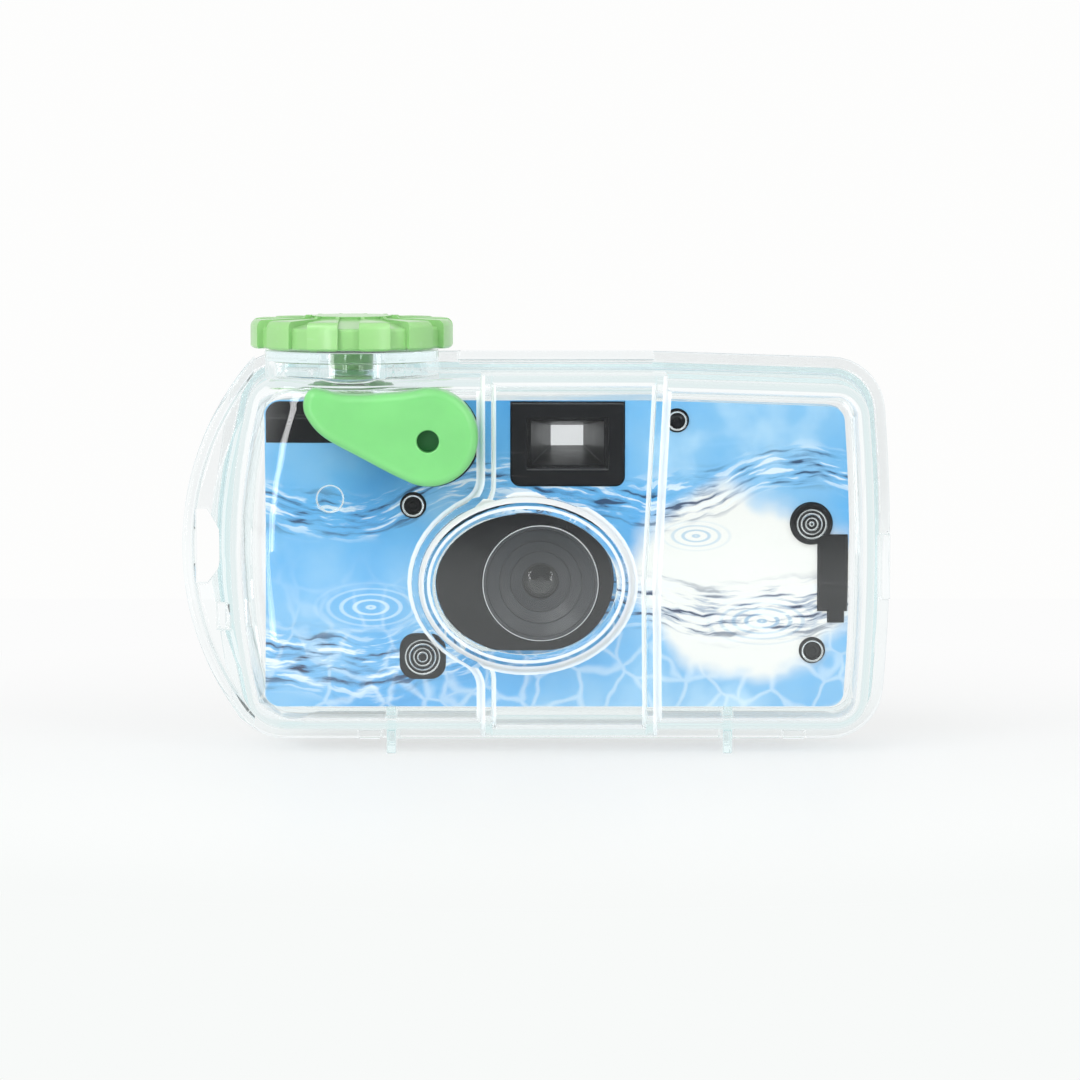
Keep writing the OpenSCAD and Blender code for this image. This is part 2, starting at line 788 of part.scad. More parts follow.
// The round turret under the knob, and the room inside it
module turret(thin) {
    post(wind_x, wind_y, turret_r - thin, thin > 0 ? cam_z1 : turret_z0, turret_top - thin);
}

module flange_plate(y0, y1) {
    deep(y0, y1) polygon(case_outline(flange_w));
}

module seal_path(grow) {
    difference() {
        polygon(case_outline(seal_in + seal_w + grow));
        polygon(case_outline(seal_in - grow));
    }
}

module washer_seat() {
    post(wind_x, wind_y, washer_r + slip, turret_top - washer_sunk - eps, turret_top + over);
}

module front_shell() {
    color(clear_plastic) difference() {
        union() {
            difference() {
                union() {
                    front_loft(case_front, part_y, 0, 0);
                    difference() {
                        band_solid();
                        finder_field();
                    }
                    port_solid();
                    flange_plate(part_y - flange_t, part_y);
                    lug_solid();
                    front_only(part_y) turret(0);
                    rod(lever_x, lever_z, pivot_boss_r, boss_face, case_front + wall / 2);
                    foot_ribs(foot_y0, part_y);
                }
                front_loft(case_front + wall, part_y + over, wall, 0);
                band_hollow();
                port_hollow();
                front_only(part_y - flange_t - turret_web) turret(wall);
            }
            front_only(part_y) post(wind_x, wind_y, neck_r, neck_z0, turret_top - wall / 2);
            for (p = front_posts)
                rod(p[0], p[1], p[2], case_front + wall / 2, label_front - boss_lift - post_gap);
            ring_post(square_boss[0], square_boss[1], square_boss_r);
            ring_post(latch_x, latch_z, latch_post_r);
            rest_ribs();
        }
        post(wind_x, wind_y, bore_r, neck_z0 - over, turret_top + over);
        washer_seat();
        rod(lever_x, lever_z, pivot_bore, boss_face - over, case_front + wall + over);
        deep(part_y - seal_deep, part_y + over) seal_path(0);
        // Each hook passes the flange in a notch, and bites in front of it
        for (hook = hooks) {
            out = flange_w + hook_gap;
            y0 = part_y - lug_t - over;
            at_hook(hook, hook_in - hook_gap, out, hook_gap, y0, part_y + over);
            at_hook(hook, hook_in - hook_bite - hook_gap, out, hook_gap, y0, part_y - flange_t);
        }
        strap_slot();
    }
}

module rear_shell() {
    catch_y = part_y - flange_t - hook_gap;
    hook_y0 = catch_y - hook_head;
    sunk_w = finder_w + 3;
    sunk_h = finder_h - 2;
    sunk_deep = 0.8;
    color(clear_plastic) difference() {
        union() {
            difference() {
                union() {
                    rear_loft(part_y, case_back, case_edge_r, 0);
                    flange_plate(part_y, part_y + flange_t);
                    rear_only(part_y) turret(0);
                    foot_ribs(part_y, foot_y1);
                }
                rear_loft(part_y - over, case_back - wall, case_edge_r - wall, -wall);
                rear_only(part_y + flange_t + wall) turret(wall);
            }
            for (hook = hooks) {
                at_hook(hook, hook_in, flange_w, 0, hook_y0, part_y + flange_t);
                at_hook(hook, hook_in - hook_bite, flange_w, 0, hook_y0, catch_y);
            }
            for (x = [cam_x0 + 12, cam_x1 - 12], z = [cam_z0 + 10, cam_z1 - 16])
                rod(x, z, back_post_r, cam_back + post_gap, case_back - wall / 2);
        }
        washer_seat();
        strap_slot();
        deep(case_back - sunk_deep, case_back + over)
            polygon(rounded([finder_x, finder_z], sunk_w, sunk_h, cam_corner_r));
    }
}

module seal_ring() {
    color(seal_teal) deep(part_y - seal_deep, part_y) seal_path(-slip / 2);
}

module knob_washer() {
    z0 = turret_top - washer_sunk;
    color(black_plastic) tube(wind_x, wind_y, bore_r + 0.4, washer_r, z0, z0 + washer_t);
}

// Advance knob and what turns with it

module advance_knob() {
    r = knob_d / 2;
    rim = 1.4;
    rim_drop = 0.5;
    rim_sweep = 70;
    edge = 0.4;
    crown_r = 8.7;
    crown_h = 0.4;
    hub_r = shaft_r + 2.6;
    rim_in = r - 3.4;
    roof = knob_z1 - knob_wall;
    notch_deep = 1.3;
    notch_slope = 8;
    notch_start = crown_r - 1.5;
    color(green_plastic) difference() {
        turned_z(wind_x, wind_y, concat([[0, knob_z0], [r - edge, knob_z0], [r, knob_z0 + edge]],
            arc([r - rim, knob_z1 - rim - rim_drop], rim, 0, rim_sweep, 5),
            [[crown_r + edge, knob_z1 - crown_h], [crown_r, knob_z1], [0, knob_z1]]));
        // The hollow underside leaves a rim and a hub
        turned_z(wind_x, wind_y, [[hub_r, knob_z0 - over], [hub_r, roof], [rim_in, roof - edge],
            [rim_in, knob_z0 - over]]);
        post(wind_x, wind_y, shaft_r, knob_z0 - over, shaft_z1);
        // Notches run up the rim and slope out on to the top
        for (i = [0:knob_notches - 1])
            translate([wind_x, wind_y, 0]) rotate([0, 0, 360 * i / knob_notches - 90]) {
                block([r - notch_deep, -notch_w / 2, knob_z0 - over],
                    [r + over, notch_w / 2, knob_z1 + over]);
                translate([notch_start, 0, knob_z1 - crown_h]) rotate([0, notch_slope, 0])
                    block([0, -notch_w / 2, 0], [r, notch_w / 2, knob_h]);
            }
    }
}

module knob_shaft() {
    groove_r = shaft_r - ring_d + run_gap;
    color(green_plastic) difference() {
        union() {
            post(wind_x, wind_y, shaft_r - eps, shaft_z0, shaft_z1 - eps);
            shaft_key(0, shaft_z0 - key_h, shaft_z0 + lap);
        }
        tube(wind_x, wind_y, groove_r, shaft_r + over, groove_z - groove_w / 2, groove_z + groove_w / 2);
        tube(wind_x, wind_y, shaft_r - clip_deep, shaft_r + over, clip_z, clip_z + clip_slot);
    }
}

// Flat key under the shaft that drives the camera's wheel
module shaft_key(grow, z0, z1) {
    block([wind_x - key_l / 2 - grow, wind_y - key_w / 2 - grow, z0],
        [wind_x + key_l / 2 + grow, wind_y + key_w / 2 + grow, z1]);
}

module knob_o_ring() {
    color(black_plastic) translate([wind_x, wind_y, groove_z])
        o_ring(shaft_r - ring_d + run_gap, ring_d - eps);
}

// Split ring that keeps the shaft in the case
module knob_clip() {
    z0 = clip_z + (clip_slot - clip_t) / 2;
    split = 2.4;
    color(steel) difference() {
        tube(wind_x, wind_y, shaft_r - clip_deep + eps, clip_r, z0, z0 + clip_t);
        block([wind_x, wind_y - split / 2, z0 - over], [wind_x + 2 * clip_r, wind_y + split / 2, z0 + over]);
    }
}

// Flat-sided drive pin between the wheel and the can's spool, up to height z1
module dog(grow, z1) {
    flat = dog_half + grow;
    intersection() {
        post(wind_x, wind_y, dog_r + grow, can_z1 - dog_deep - grow, z1);
        block([-beyond, wind_y - flat, 0], [beyond, wind_y + flat, beyond]);
    }
}

// Ratchet wheel of the camera: the shaft's key drives its hub, its dog turns the can's spool
module advance_wheel() {
    color(black_plastic) difference() {
        union() {
            translate([wind_x, wind_y, wheel_z]) linear_extrude(wheel_t)
                polygon(toothed(wheel_teeth, wheel_r, tooth_h, 0.12));
            post(wind_x, wind_y, shaft_r + wheel_hub_wall, wheel_z + wheel_t - lap, hub_top);
            dog(0, wheel_z + lap);
        }
        shaft_key(slip, hub_top - key_h - slip, hub_top + over);
    }
}

// Spool of the film can, with a slotted head for the wheel's dog
module can_spool() {
    lip_in = 2;
    lip_r = can_d / 2 - lip_in;
    lip_t = 0.5;
    low = film_z0 - slip - lip_t;
    high = film_z1 + slip + lip_t;
    foot_in = 0.6;
    foot_r = spool_head_r - foot_in;
    foot_z = can_z0 + 2 * slip;
    head_z = can_z1 - slip;
    color(black_plastic) difference() {
        turned_z(wind_x, wind_y, [[0, foot_z], [foot_r, foot_z], [foot_r, low], [lip_r, low],
            [lip_r, low + lip_t], [can_core_r, low + lip_t], [can_core_r, high - lip_t],
            [lip_r, high - lip_t], [lip_r, high], [spool_head_r, high], [spool_head_r, head_z], [0, head_z]]);
        dog(slip, can_z1 + over);
    }
}

module film_on_core() {
    color(film_brown) tube(wind_x, wind_y, can_core_r + eps, core_r, film_z0, film_z1);
}

// Film can

module film_can() {
    color(steel) difference() {
        tube(wind_x, wind_y, can_d / 2 - can_wall, can_d / 2, can_z0 + cap_t, can_z1 - cap_t);
        // The mouth faces the gate
        block([wind_x, film_y - 2, 0], [beyond, beyond, beyond]);
        block([mouth_x, wind_y, 0], [beyond, beyond, beyond]);
    }
}

module film_can_caps() {
    color(steel) for (end = [0, 1]) {
        z0 = end == 0 ? can_z0 : can_z1 - cap_t;
        tube(wind_x, wind_y, spool_head_r + clear, can_d / 2, z0, z0 + cap_t);
    }
}

// Two velvet strips that close the can's lips over the film
module light_trap() {
    x0 = mouth_x + 0.4;
    off = film_t / 2 + slip / 2;
    inset = cap_t + 0.2;
    color(black_plastic) for (y0 = [film_y - off - velvet_t, film_y + off])
        block([x0, y0, can_z0 + inset], [x0 + velvet_w, y0 + velvet_t, can_z1 - inset]);
}

// Film from the supply roll's back, past the gate, into the can's lips
module film_strip() {
    half = film_t / 2;
    x0 = wind_x + film_lead;
    x_gate = sprocket_x + film_straight;
    roll_y = wind_y + roll_r + half + film_gap;
    row = film_h / 2 - perf_in;
    color(film_brown) difference() {
        translate([0, 0, film_z0]) linear_extrude(film_h)
            polygon([[x0, film_y - half], [x_gate, film_y - half], [supply_x, roll_y - half],
                [supply_x, roll_y + half], [x_gate, film_y + half], [x0, film_y + half]]);
        for (z = [lens_z - row, lens_z + row], x = [plate_x0 + 1.5 : perf_pitch : x_gate - perf_w])
            block([x - perf_w / 2, film_y - over, z - perf_h / 2],
                [x + perf_w / 2, film_y + over, z + perf_h / 2]);
    }
}

module supply_spool() {
    low = film_z0 - spool_lip;
    high = film_z1 + spool_lip;
    lip_t = 1;
    lip_r = supply_core_r + 1;
    pin_z0 = floor_z + slip;
    pin_z1 = deck_z + deck_t;
    color(black_plastic) turned_z(supply_x, wind_y, [[0, pin_z0], [spool_pin_r, pin_z0], [spool_pin_r, low],
        [lip_r, low], [lip_r, low + lip_t], [supply_core_r, low + lip_t], [supply_core_r, high - lip_t],
        [lip_r, high - lip_t], [lip_r, high], [spool_pin_r, high], [spool_pin_r, pin_z1], [0, pin_z1]]);
}

module film_roll() {
    color(film_brown) tube(supply_x, wind_y, supply_core_r + eps, roll_r, film_z0, film_z1);
}

module sprocket() {
    top = finger_z + finger_t;
    half = sprocket_t / 2;
    tooth_w = 1.4;
    root_r = sprocket_r - 1;
    finger_w = 1;
    color(black_plastic) union() {
        post(sprocket_x, sprocket_y, axle_r, sprocket_z - axle_drop, top);
        post(sprocket_x, sprocket_y, root_r, sprocket_z - half, sprocket_z + half);
        for (i = [0:sprocket_teeth - 1])
            translate([sprocket_x, sprocket_y, sprocket_z]) rotate([0, 0, 360 * (i + 0.5) / sprocket_teeth])
                block([0, -tooth_w / 2, -half], [sprocket_r, tooth_w / 2, half]);
        // The finger that steps the counter once a turn
        block([sprocket_x - finger_r, sprocket_y - finger_w / 2, finger_z],
            [sprocket_x, sprocket_y + finger_w / 2, top]);
    }
}

// Frame counter: a dial over a toothed hub, on a post of the chassis
module counter_dial() {
    reach = norm([sprocket_x - dial_x, sprocket_y - dial_y]);
    gear_r = reach - finger_r - clear;
    gear_tooth_h = 0.7;
    color(white_plastic) difference() {
        union() {
            post(dial_x, dial_y, dial_r, dial_z, dial_z + dial_t);
            translate([dial_x, dial_y, finger_z]) linear_extrude(dial_z - finger_z + lap)
                polygon(toothed(dial_teeth, gear_r, gear_tooth_h, 0.5));
        }
        post(dial_x, dial_y, dial_pin_r + run_gap, finger_z - over, dial_z + dial_t + over);
    }
}

// Shutter lever and what turns with it

// Smooth curve through points, with n steps between two of them; the first and last only steer it
function curve(points, n) =
    [for (i = [1:len(points) - 3], k = [0:n - 1])
        let (a = points[i - 1], b = points[i], c = points[i + 1], d = points[i + 2], t = k / n)
        b + t / 2 * (c - a + t * (2 * a - 5 * b + 4 * c - d + t * (3 * b - a - 3 * c + d)))];

// A closed outline moved outwards along its normals; it runs anticlockwise
function grown(outline, by) =
    let (n = len(outline))
    [for (i = [0:n - 1]) let (t = outline[(i + 1) % n] - outline[(i + n - 1) % n])
        outline[i] + by * [t[1], -t[0]] / norm(t)];

function lever_outline() =
    let (pivot = [lever_x, lever_z], hub = arc(pivot + hub_off, lever_hub_r, hub_sweep[0], hub_sweep[1], 30),
        n = len(hub), finger = [for (p = finger_edge) pivot + lever_reach * p])
    concat(hub, inner(curve(concat([hub[n - 2], hub[n - 1]], finger, [hub[0], hub[1]]), 3)));

function lever_ring(y, grow) = ring_at(grown(lever_outline(), grow), y);

module shutter_lever() {
    e = lever_edge_r;
    back_edge = 0.4;
    steps = 4;
    color(green_plastic) difference() {
        loft(concat(
            [for (i = [steps:-1:0]) let (a = 90 * i / steps)
                lever_ring(lever_front + e * (1 - sin(a)), -e * (1 - cos(a)))],
            [lever_ring(lever_back - back_edge, 0), lever_ring(lever_back, -back_edge)]));
        rod(lever_x, lever_z, pivot_r, lever_front - over, lever_back + over);
    }
}

module lever_shaft() {
    groove_r = pivot_r - ring_d + run_gap;
    color(green_plastic) difference() {
        rod(lever_x, lever_z, pivot_r - eps, pivot_y0, crank_y0 + crank_t);
        difference() {
            rod(lever_x, lever_z, pivot_r + over, pivot_groove - groove_w / 2, pivot_groove + groove_w / 2);
            rod(lever_x, lever_z, groove_r, pivot_groove - groove_w, pivot_groove + groove_w);
        }
    }
}

module lever_o_ring() {
    color(black_plastic) translate([lever_x, pivot_groove, lever_z]) rotate([90, 0, 0])
        o_ring(pivot_r - ring_d + run_gap, ring_d - eps);
}

// Crank on the shaft's inner end; its round tip stands over the release tab
module lever_crank() {
    color(green_plastic) difference() {
        deep(crank_y0, crank_y0 + crank_t)
            polygon(teardrop([lever_x, lever_z], crank_hub, [lever_x - crank_r, lever_z], crank_tip, 32, 16));
        rod(lever_x, lever_z, pivot_r, crank_y0 - over, crank_y0 + crank_t + over);
    }
}

module release_tab() {
    color(black_plastic) union() {
        block([tab_x0, label_front - nose_out, tab_top - nose_h], [tab_x1, tab_y + lap, tab_top]);
        block([tab_x0, tab_y, tab_top - tab_h], [tab_x1 + tab_foot, tab_y + tab_d, tab_top]);
    }
}

module release_spring() {
    color(steel) translate([spring_x, spring_y, spring_z0])
        coil(spring_r, spring_wire, spring_turns, spring_h);
}

// Camera body

// Seen from the front: the lens boss, two round ends joined
module boss_outline(grow) {
    polygon(concat(arc([boss_x + boss_half, boss_z], boss_r + grow, -90, 90, 24),
        arc([boss_x - boss_half, boss_z], boss_r + grow, 90, 270, 24)));
}

module finder_outline(grow) {
    w = finder_w / 2 + grow;
    h = finder_h / 2 + grow;
    r = 1.8;
    translate([finder_x, finder_z])
        polygon(concat([[w, h], [-w, h]], arc([-w + r, -h + r], r, 180, 270, 6),
            arc([w - r, -h + r], r, 270, 360, 6)));
}

module tab_slot() {
    block([tab_x0 - 2 * slip, cam_front - over, tab_top - nose_h - tab_travel - clear],
        [tab_x1 + 2 * slip, cam_front + cam_wall + over, tab_top + slip]);
}

// Hole in the camera's top for the knob's shaft
module shaft_hole() {
    post(wind_x, wind_y, shaft_hole_r, cam_z1 - cam_wall - over, cam_z1 + over);
}

// Seen from the front: the latch's bar up to x1, and the narrow tab under it
module latch_bar_outline(x1) {
    translate([latch_bar_x, latch_bar_z0]) square([x1 - latch_bar_x, latch_bar_z1 - latch_bar_z0]);
    translate([latch_bar_x + latch_tab[0], latch_bar_z0 - latch_tab_h])
        square([latch_tab[1] - latch_tab[0], latch_tab_h + lap]);
}

// Concentric rings on a round boss
module ringed_boss(x, z, r, stand) {
    face = cam_front - stand;
    sunk = face + 0.3;
    root = cam_front + 2 * lap;
    turned_y(x, z, [[0, root], [r, root], [r, face], [0.85 * r, face], [0.75 * r, sunk],
        [0.65 * r, sunk], [0.55 * r, face], [0.35 * r, face], [0.25 * r, sunk], [0, sunk]]);
}

module front_cover() {
    color(black_plastic) difference() {
        union() {
            difference() {
                deep(cam_front, split_y) polygon(cam_outline(0));
                deep(cam_front + cam_wall, split_y + over) polygon(cam_outline(-cam_wall));
            }
            deep(boss_front, cam_front + cam_wall) boss_outline(0);
            for (i = [1:3])
                ringed_boss(front_posts[i][0], front_posts[i][1], front_posts[i][2] + boss_over, boss_lift);
            ringed_boss(square_boss[0], square_boss[1], square_boss_r, detail_lift);
            deep(cam_front - 0.5, cam_front + lap)
                polygon(rounded(square_boss, square_w, square_w, square_r));
            ringed_boss(latch_x, latch_z, latch_r, detail_lift);
            deep(cam_front - latch_lift, cam_front + lap) latch_bar_outline(cam_x1 + latch_out);
        }
        rod(lens_x, lens_z, hood_r, boss_front - over, cam_front + cam_wall + over);
        deep(cam_front - over, cam_front + cam_wall + over) finder_outline(slip);
        tab_slot();
        shaft_hole();
        counter_hole(slip);
    }
}

module counter_hole(grow) {
    half = counter_w / 2 + grow;
    block([dial_x - half, counter_y0 - grow, cam_z1 - cam_wall - cam_drop - over],
        [dial_x + half, counter_y1 + grow, cam_z1 + over]);
}

// Clear magnifier over the counter's dial
module counter_lens() {
    dome_r = 9.4;
    z0 = cam_z1 - cam_wall - 0.6;
    color(clear_plastic) intersection() {
        counter_hole(-slip);
        rod(dial_x, cam_z1 - dome_r, dome_r, counter_y0 - over, counter_y1 + over, $fn = 96);
        block([-beyond, -beyond, z0], [beyond, beyond, beyond]);
    }
}

module back_cover() {
    rail_w = 1;
    eye_rim = 2;
    eye_rim_t = 0.8;
    color(black_plastic) difference() {
        union() {
            difference() {
                deep(split_y, cam_back) polygon(cam_outline(0));
                deep(split_y - over, cam_back - cam_wall) polygon(cam_outline(-cam_wall));
            }
            deep(cam_back - lap, cam_back + eye_rim_t)
                polygon(rounded([finder_x, finder_z], eye_hole_w + 2 * eye_rim, eye_hole_h + 2 * eye_rim,
                    eye_rim));
            // Rails that press the film on the gate
            for (side = [-1, 1], at = [gate_h / 2 + 1.5, film_h / 2 - 1.2]) {
                z = lens_z + side * at;
                block([lens_x - gate_w / 2 - 1, film_y + film_t / 2 + slip, z - rail_w / 2],
                    [lens_x + gate_w / 2 + 1, cam_back - cam_wall + lap, z + rail_w / 2]);
            }
        }
        eyepiece_hole(slip);
        shaft_hole();
        film_door_shape(slip, over);
    }
}

module eyepiece_hole(grow) {
    w = eye_hole_w / 2 + grow;
    h = eye_hole_h / 2 + grow;
    block([finder_x - w, cam_back - cam_wall - over, finder_z - h],
        [finder_x + w, cam_back + over, finder_z + h]);
}

// The door under the film can, which is broken open to take the film out
module film_door_shape(grow, deepen) {
    block([wind_x - door_half - grow, door_y0 - grow, cam_z0 - deepen],
        [wind_x + door_half + grow, door_y1 + grow, cam_z0 + cam_wall + deepen * eps]);
}

module film_door() {
    color(black_plastic) film_door_shape(0, 0);
}

// Seen from the front: the corner that the label leaves bare, and what it leaves open round the details
module label_cuts() {
    translate([cam_x0 - over, lens_z + bare_up]) square([lever_x - cam_x0 + over, cam_h]);
    translate([lever_x + 0.3, lever_z]) circle(r = lever_hub_r + 0.2);
    boss_outline(label_gap);
    finder_outline(label_gap);
    for (i = [1:3])
        translate([front_posts[i][0], front_posts[i][1]])
            circle(r = front_posts[i][2] + boss_over + label_gap);
    offset(r = label_gap) polygon(rounded(square_boss, square_w, square_w, square_r));
    translate([latch_x, latch_z]) circle(r = latch_r + label_gap);
    offset(delta = label_gap) latch_bar_outline(beyond);
}

// One printed sheet: the front, and a wrap round the camera's sides
module front_label() {
    wrap_y1 = cam_back - wrap_short;
    color(print_blue) difference() {
        union() {
            deep(label_front, cam_front) difference() {
                polygon(cam_outline(label_t));
                label_cuts();
            }
            deep(cam_front - eps, wrap_y1) difference() {
                polygon(cam_outline(label_t));
                polygon(cam_outline(0));
            }
        }
        tab_slot();
        counter_hole(label_gap);
        post(wind_x, wind_y, shaft_hole_r + label_gap, cam_z1 - over, cam_z1 + over);
        film_door_shape(label_gap, over);
    }
}

// Tapered tunnel from the front window to the eyepiece, under a square front frame
module finder_taper(y0, y1, w0, h0, w1, h1) {
    hull() {
        block([finder_x - w0 / 2, y0, finder_z - h0 / 2], [finder_x + w0 / 2, y0 + lap, finder_z + h0 / 2]);
        block([finder_x - w1 / 2, y1 - lap, finder_z - h1 / 2], [finder_x + w1 / 2, y1, finder_z + h1 / 2]);
    }
}

// A block on the viewfinder's axis, w wide and h high
module finder_block(w, h, y0, y1) {
    block([finder_x - w / 2, y0, finder_z - h / 2], [finder_x + w / 2, y1, finder_z + h / 2]);
}

module viewfinder_frame() {
    out_w = finder_win_w + 2 * finder_wall;
    out_h = finder_win_h + 2 * finder_wall;
    ledge = 1.6;
    seat_y = objective_y + objective_t;
    view_w = eye_lens_w - 1.4;
    view_h = eye_lens_h - 1.4;
    cover_in = cam_front + cam_wall;
    color(black_plastic) difference() {
        union() {
            deep(finder_front, cover_in + 0.6) finder_outline(0);
            finder_taper(cover_in, finder_back, out_w, out_h, eye_hole_w - 2 * slip, eye_hole_h - 2 * slip);
        }
        finder_block(finder_win_w, finder_win_h, finder_front - over, seat_y + slip);
        finder_taper(seat_y, finder_back + lap, finder_win_w - ledge, finder_win_h - ledge, view_w, view_h);
        finder_block(eye_lens_w, eye_lens_h, finder_back - eye_lens_t - 4 * slip, finder_back + over);
    }
}

module viewfinder_objective() {
    w = finder_win_w - 2 * slip;
    h = finder_win_h - 2 * slip;
    color(clear_plastic) finder_block(w, h, objective_y, objective_y + objective_t);
}

module viewfinder_eyepiece() {
    back = finder_back - 3 * slip;
    color(clear_plastic) finder_block(eye_lens_w - 2 * slip, eye_lens_h - 2 * slip, back - eye_lens_t, back);
}

// Turned hood with a stepped funnel in front and the lens seat behind
module lens_hood() {
    seat_r = lens_r + slip;
    seat_wall = 1.3;
    nose_r = seat_r + seat_wall;
    lip = 0.7;
    opening_r = lens_r - lip;
    step_r = [5.5, 7.5];
    step_y = [1.1, 1.6, 2.6, 3.2];
    rim_w = 0.7;
    rim_deep = 0.4;
    out_r = hood_r - slip;
    cover_in = cam_front + cam_wall;
    color(black_plastic) turned_y(lens_x, lens_z, [[out_r, boss_front], [out_r, cover_in], [nose_r, cover_in],
        [nose_r, hood_back], [seat_r, hood_back], [seat_r, lens_front], [opening_r, lens_front],
        [opening_r, lens_front - lip], [step_r[0], lens_front - step_y[0]],
        [step_r[0], lens_front - step_y[1]], [step_r[1], lens_front - step_y[2]],
        [step_r[1], lens_front - step_y[3]], [out_r - rim_w - lap, boss_front + rim_deep],
        [out_r - rim_w, boss_front]]);
}

// Meniscus lens with a flat edge
module taking_lens() {
    bulge = 0.9;
    hollow = 0.4;
    edge = 0.4;
    n = 8;
    back = lens_front + lens_t - slip;
    rim_y = lens_front + bulge;
    r_front = (pow(lens_r - edge, 2) + bulge * bulge) / (2 * bulge);
    front = [for (i = [n:-1:0]) let (q = (lens_r - edge) * i / n)
        [q, rim_y - (sqrt(r_front * r_front - q * q) - (r_front - bulge))]];
    color(clear_plastic) turned_y(lens_x, lens_z,
        concat([[lens_r, back], [lens_r, rim_y]], front, [[0, back - hollow], [lens_r - 1, back]]));
}

module lens_retainer() {
    color(black_plastic) difference() {
        rod(lens_x, lens_z, lens_r, lens_front + lens_t, hood_back - eps);
        rod(lens_x, lens_z, lens_r - 1, lens_front, hood_back + over);
    }
}

// Thin plate with the lens stop, held between the hood and the chassis's pegs
module aperture_plate() {
    color(black_plastic) difference() {
        block([lens_x - stop_left, stop_y, lens_z - stop_half_h],
            [lens_x + stop_right, stop_y + stop_t, lens_z + stop_half_h]);
        rod(lens_x, lens_z, stop_r, stop_y - over, stop_y + over);
    }
}

// Leaf over the stop, an arm to its pivot pin and a tail for the spring
module shutter_blade() {
    color(black_plastic) difference() {
        deep(blade_y, blade_y + blade_t) union() {
            polygon(teardrop([lens_x, lens_z], blade_leaf_r, [blade_x, blade_z], blade_hub_r, 24, 16));
            polygon(teardrop([blade_x, blade_z], blade_hub_r, blade_tail, blade_tail_r, 16, 8));
        }
        rod(blade_x, blade_z, blade_pin_r + run_gap, blade_y - over, blade_y + over);
    }
}

module blade_spring() {
    color(steel) translate([blade_x + pull_dx, pull_y, pull_z]) coil(pull_r, pull_wire, pull_turns, pull_len);
}

// Light tunnel between the shutter plate and the picture gate, grown outwards
module light_tunnel(grow, y0, y1) {
    hull() {
        block([lens_x - throat_w / 2 - grow, y0, lens_z - throat_h / 2 - grow],
            [lens_x + throat_w / 2 + grow, y0 + lap, lens_z + throat_h / 2 + grow]);
        block([lens_x - gate_w / 2 - grow, y1 - lap, lens_z - gate_h / 2 - grow],
            [lens_x + gate_w / 2 + grow, y1, lens_z + gate_h / 2 + grow]);
    }
}

// Walls of the two film chambers, open towards the film path
module film_chambers() {
    roll_room = roll_r + 0.6;
    front_cut = wind_y - 9;
    tab_cut = [wind_x + 4, wind_y - 2];
    difference() {
        tube(wind_x, wind_y, chamber_r, chamber_r + frame_t, floor_z, deck_z + lap);
        block([-beyond, -beyond, 0], [beyond, front_cut, beyond]);
        block([tab_cut[0], -beyond, 0], [beyond, tab_cut[1], beyond]);
        block([-beyond, gate_y, 0], [beyond, beyond, beyond]);
    }
    difference() {
        tube(supply_x, wind_y, roll_room, roll_room + frame_t, floor_z, deck_z + lap);
        block([-beyond, gate_y, 0], [beyond, beyond, beyond]);
    }
    post(supply_x, wind_y, roll_room + lap, floor_z, film_z0 - spool_lip - clear);
}

// Deck over the film, cut away round the viewfinder and the release tab
module deck() {
    difference() {
        block([cam_x0, cam_front + cam_wall + slip, deck_z], [cam_x1, gate_y + gate_t, deck_z + deck_t]);
        block([finder_x - finder_w / 2 - clear, -beyond, deck_z - over],
            [finder_x + finder_w / 2 + clear, beyond, beyond]);
        block([tab_x0 - clear, -beyond, deck_z - over],
            [tab_x1 + tab_foot + clear, tab_y + tab_d + clear, beyond]);
    }
    post(dial_x, dial_y, dial_pin_r, deck_z, dial_z + dial_t + dial_pin_over);
}

// Ledge under the release spring, and its arm to the shutter plate
module spring_ledge() {
    arm_x = plate_x0 + 0.5;
    block([tab_x0, tab_y, spring_z0 - frame_t], [arm_x + frame_t, tab_y + tab_d, spring_z0]);
    block([arm_x, tab_y, spring_z0 - frame_t], [arm_x + frame_t, plate_y + lap, spring_z0]);
}

// Pins on the shutter plate: the blade's pivot, the hook of its spring and the stop's two pegs
module shutter_pins() {
    hook_r = 0.4;
    peg_r = 0.8;
    peg_in = 0.9;
    root = plate_y + lap;
    rod(blade_x, blade_z, blade_pin_r, stop_y, root);
    rod(blade_x + pull_dx, pull_z + pull_len + hook_r, hook_r, pull_y - pull_r, root);
    for (x = [lens_x - stop_left + peg_in, lens_x + stop_right - peg_in])
        rod(x, lens_z - stop_half_h + peg_in, peg_r, stop_y + stop_t, root);
}

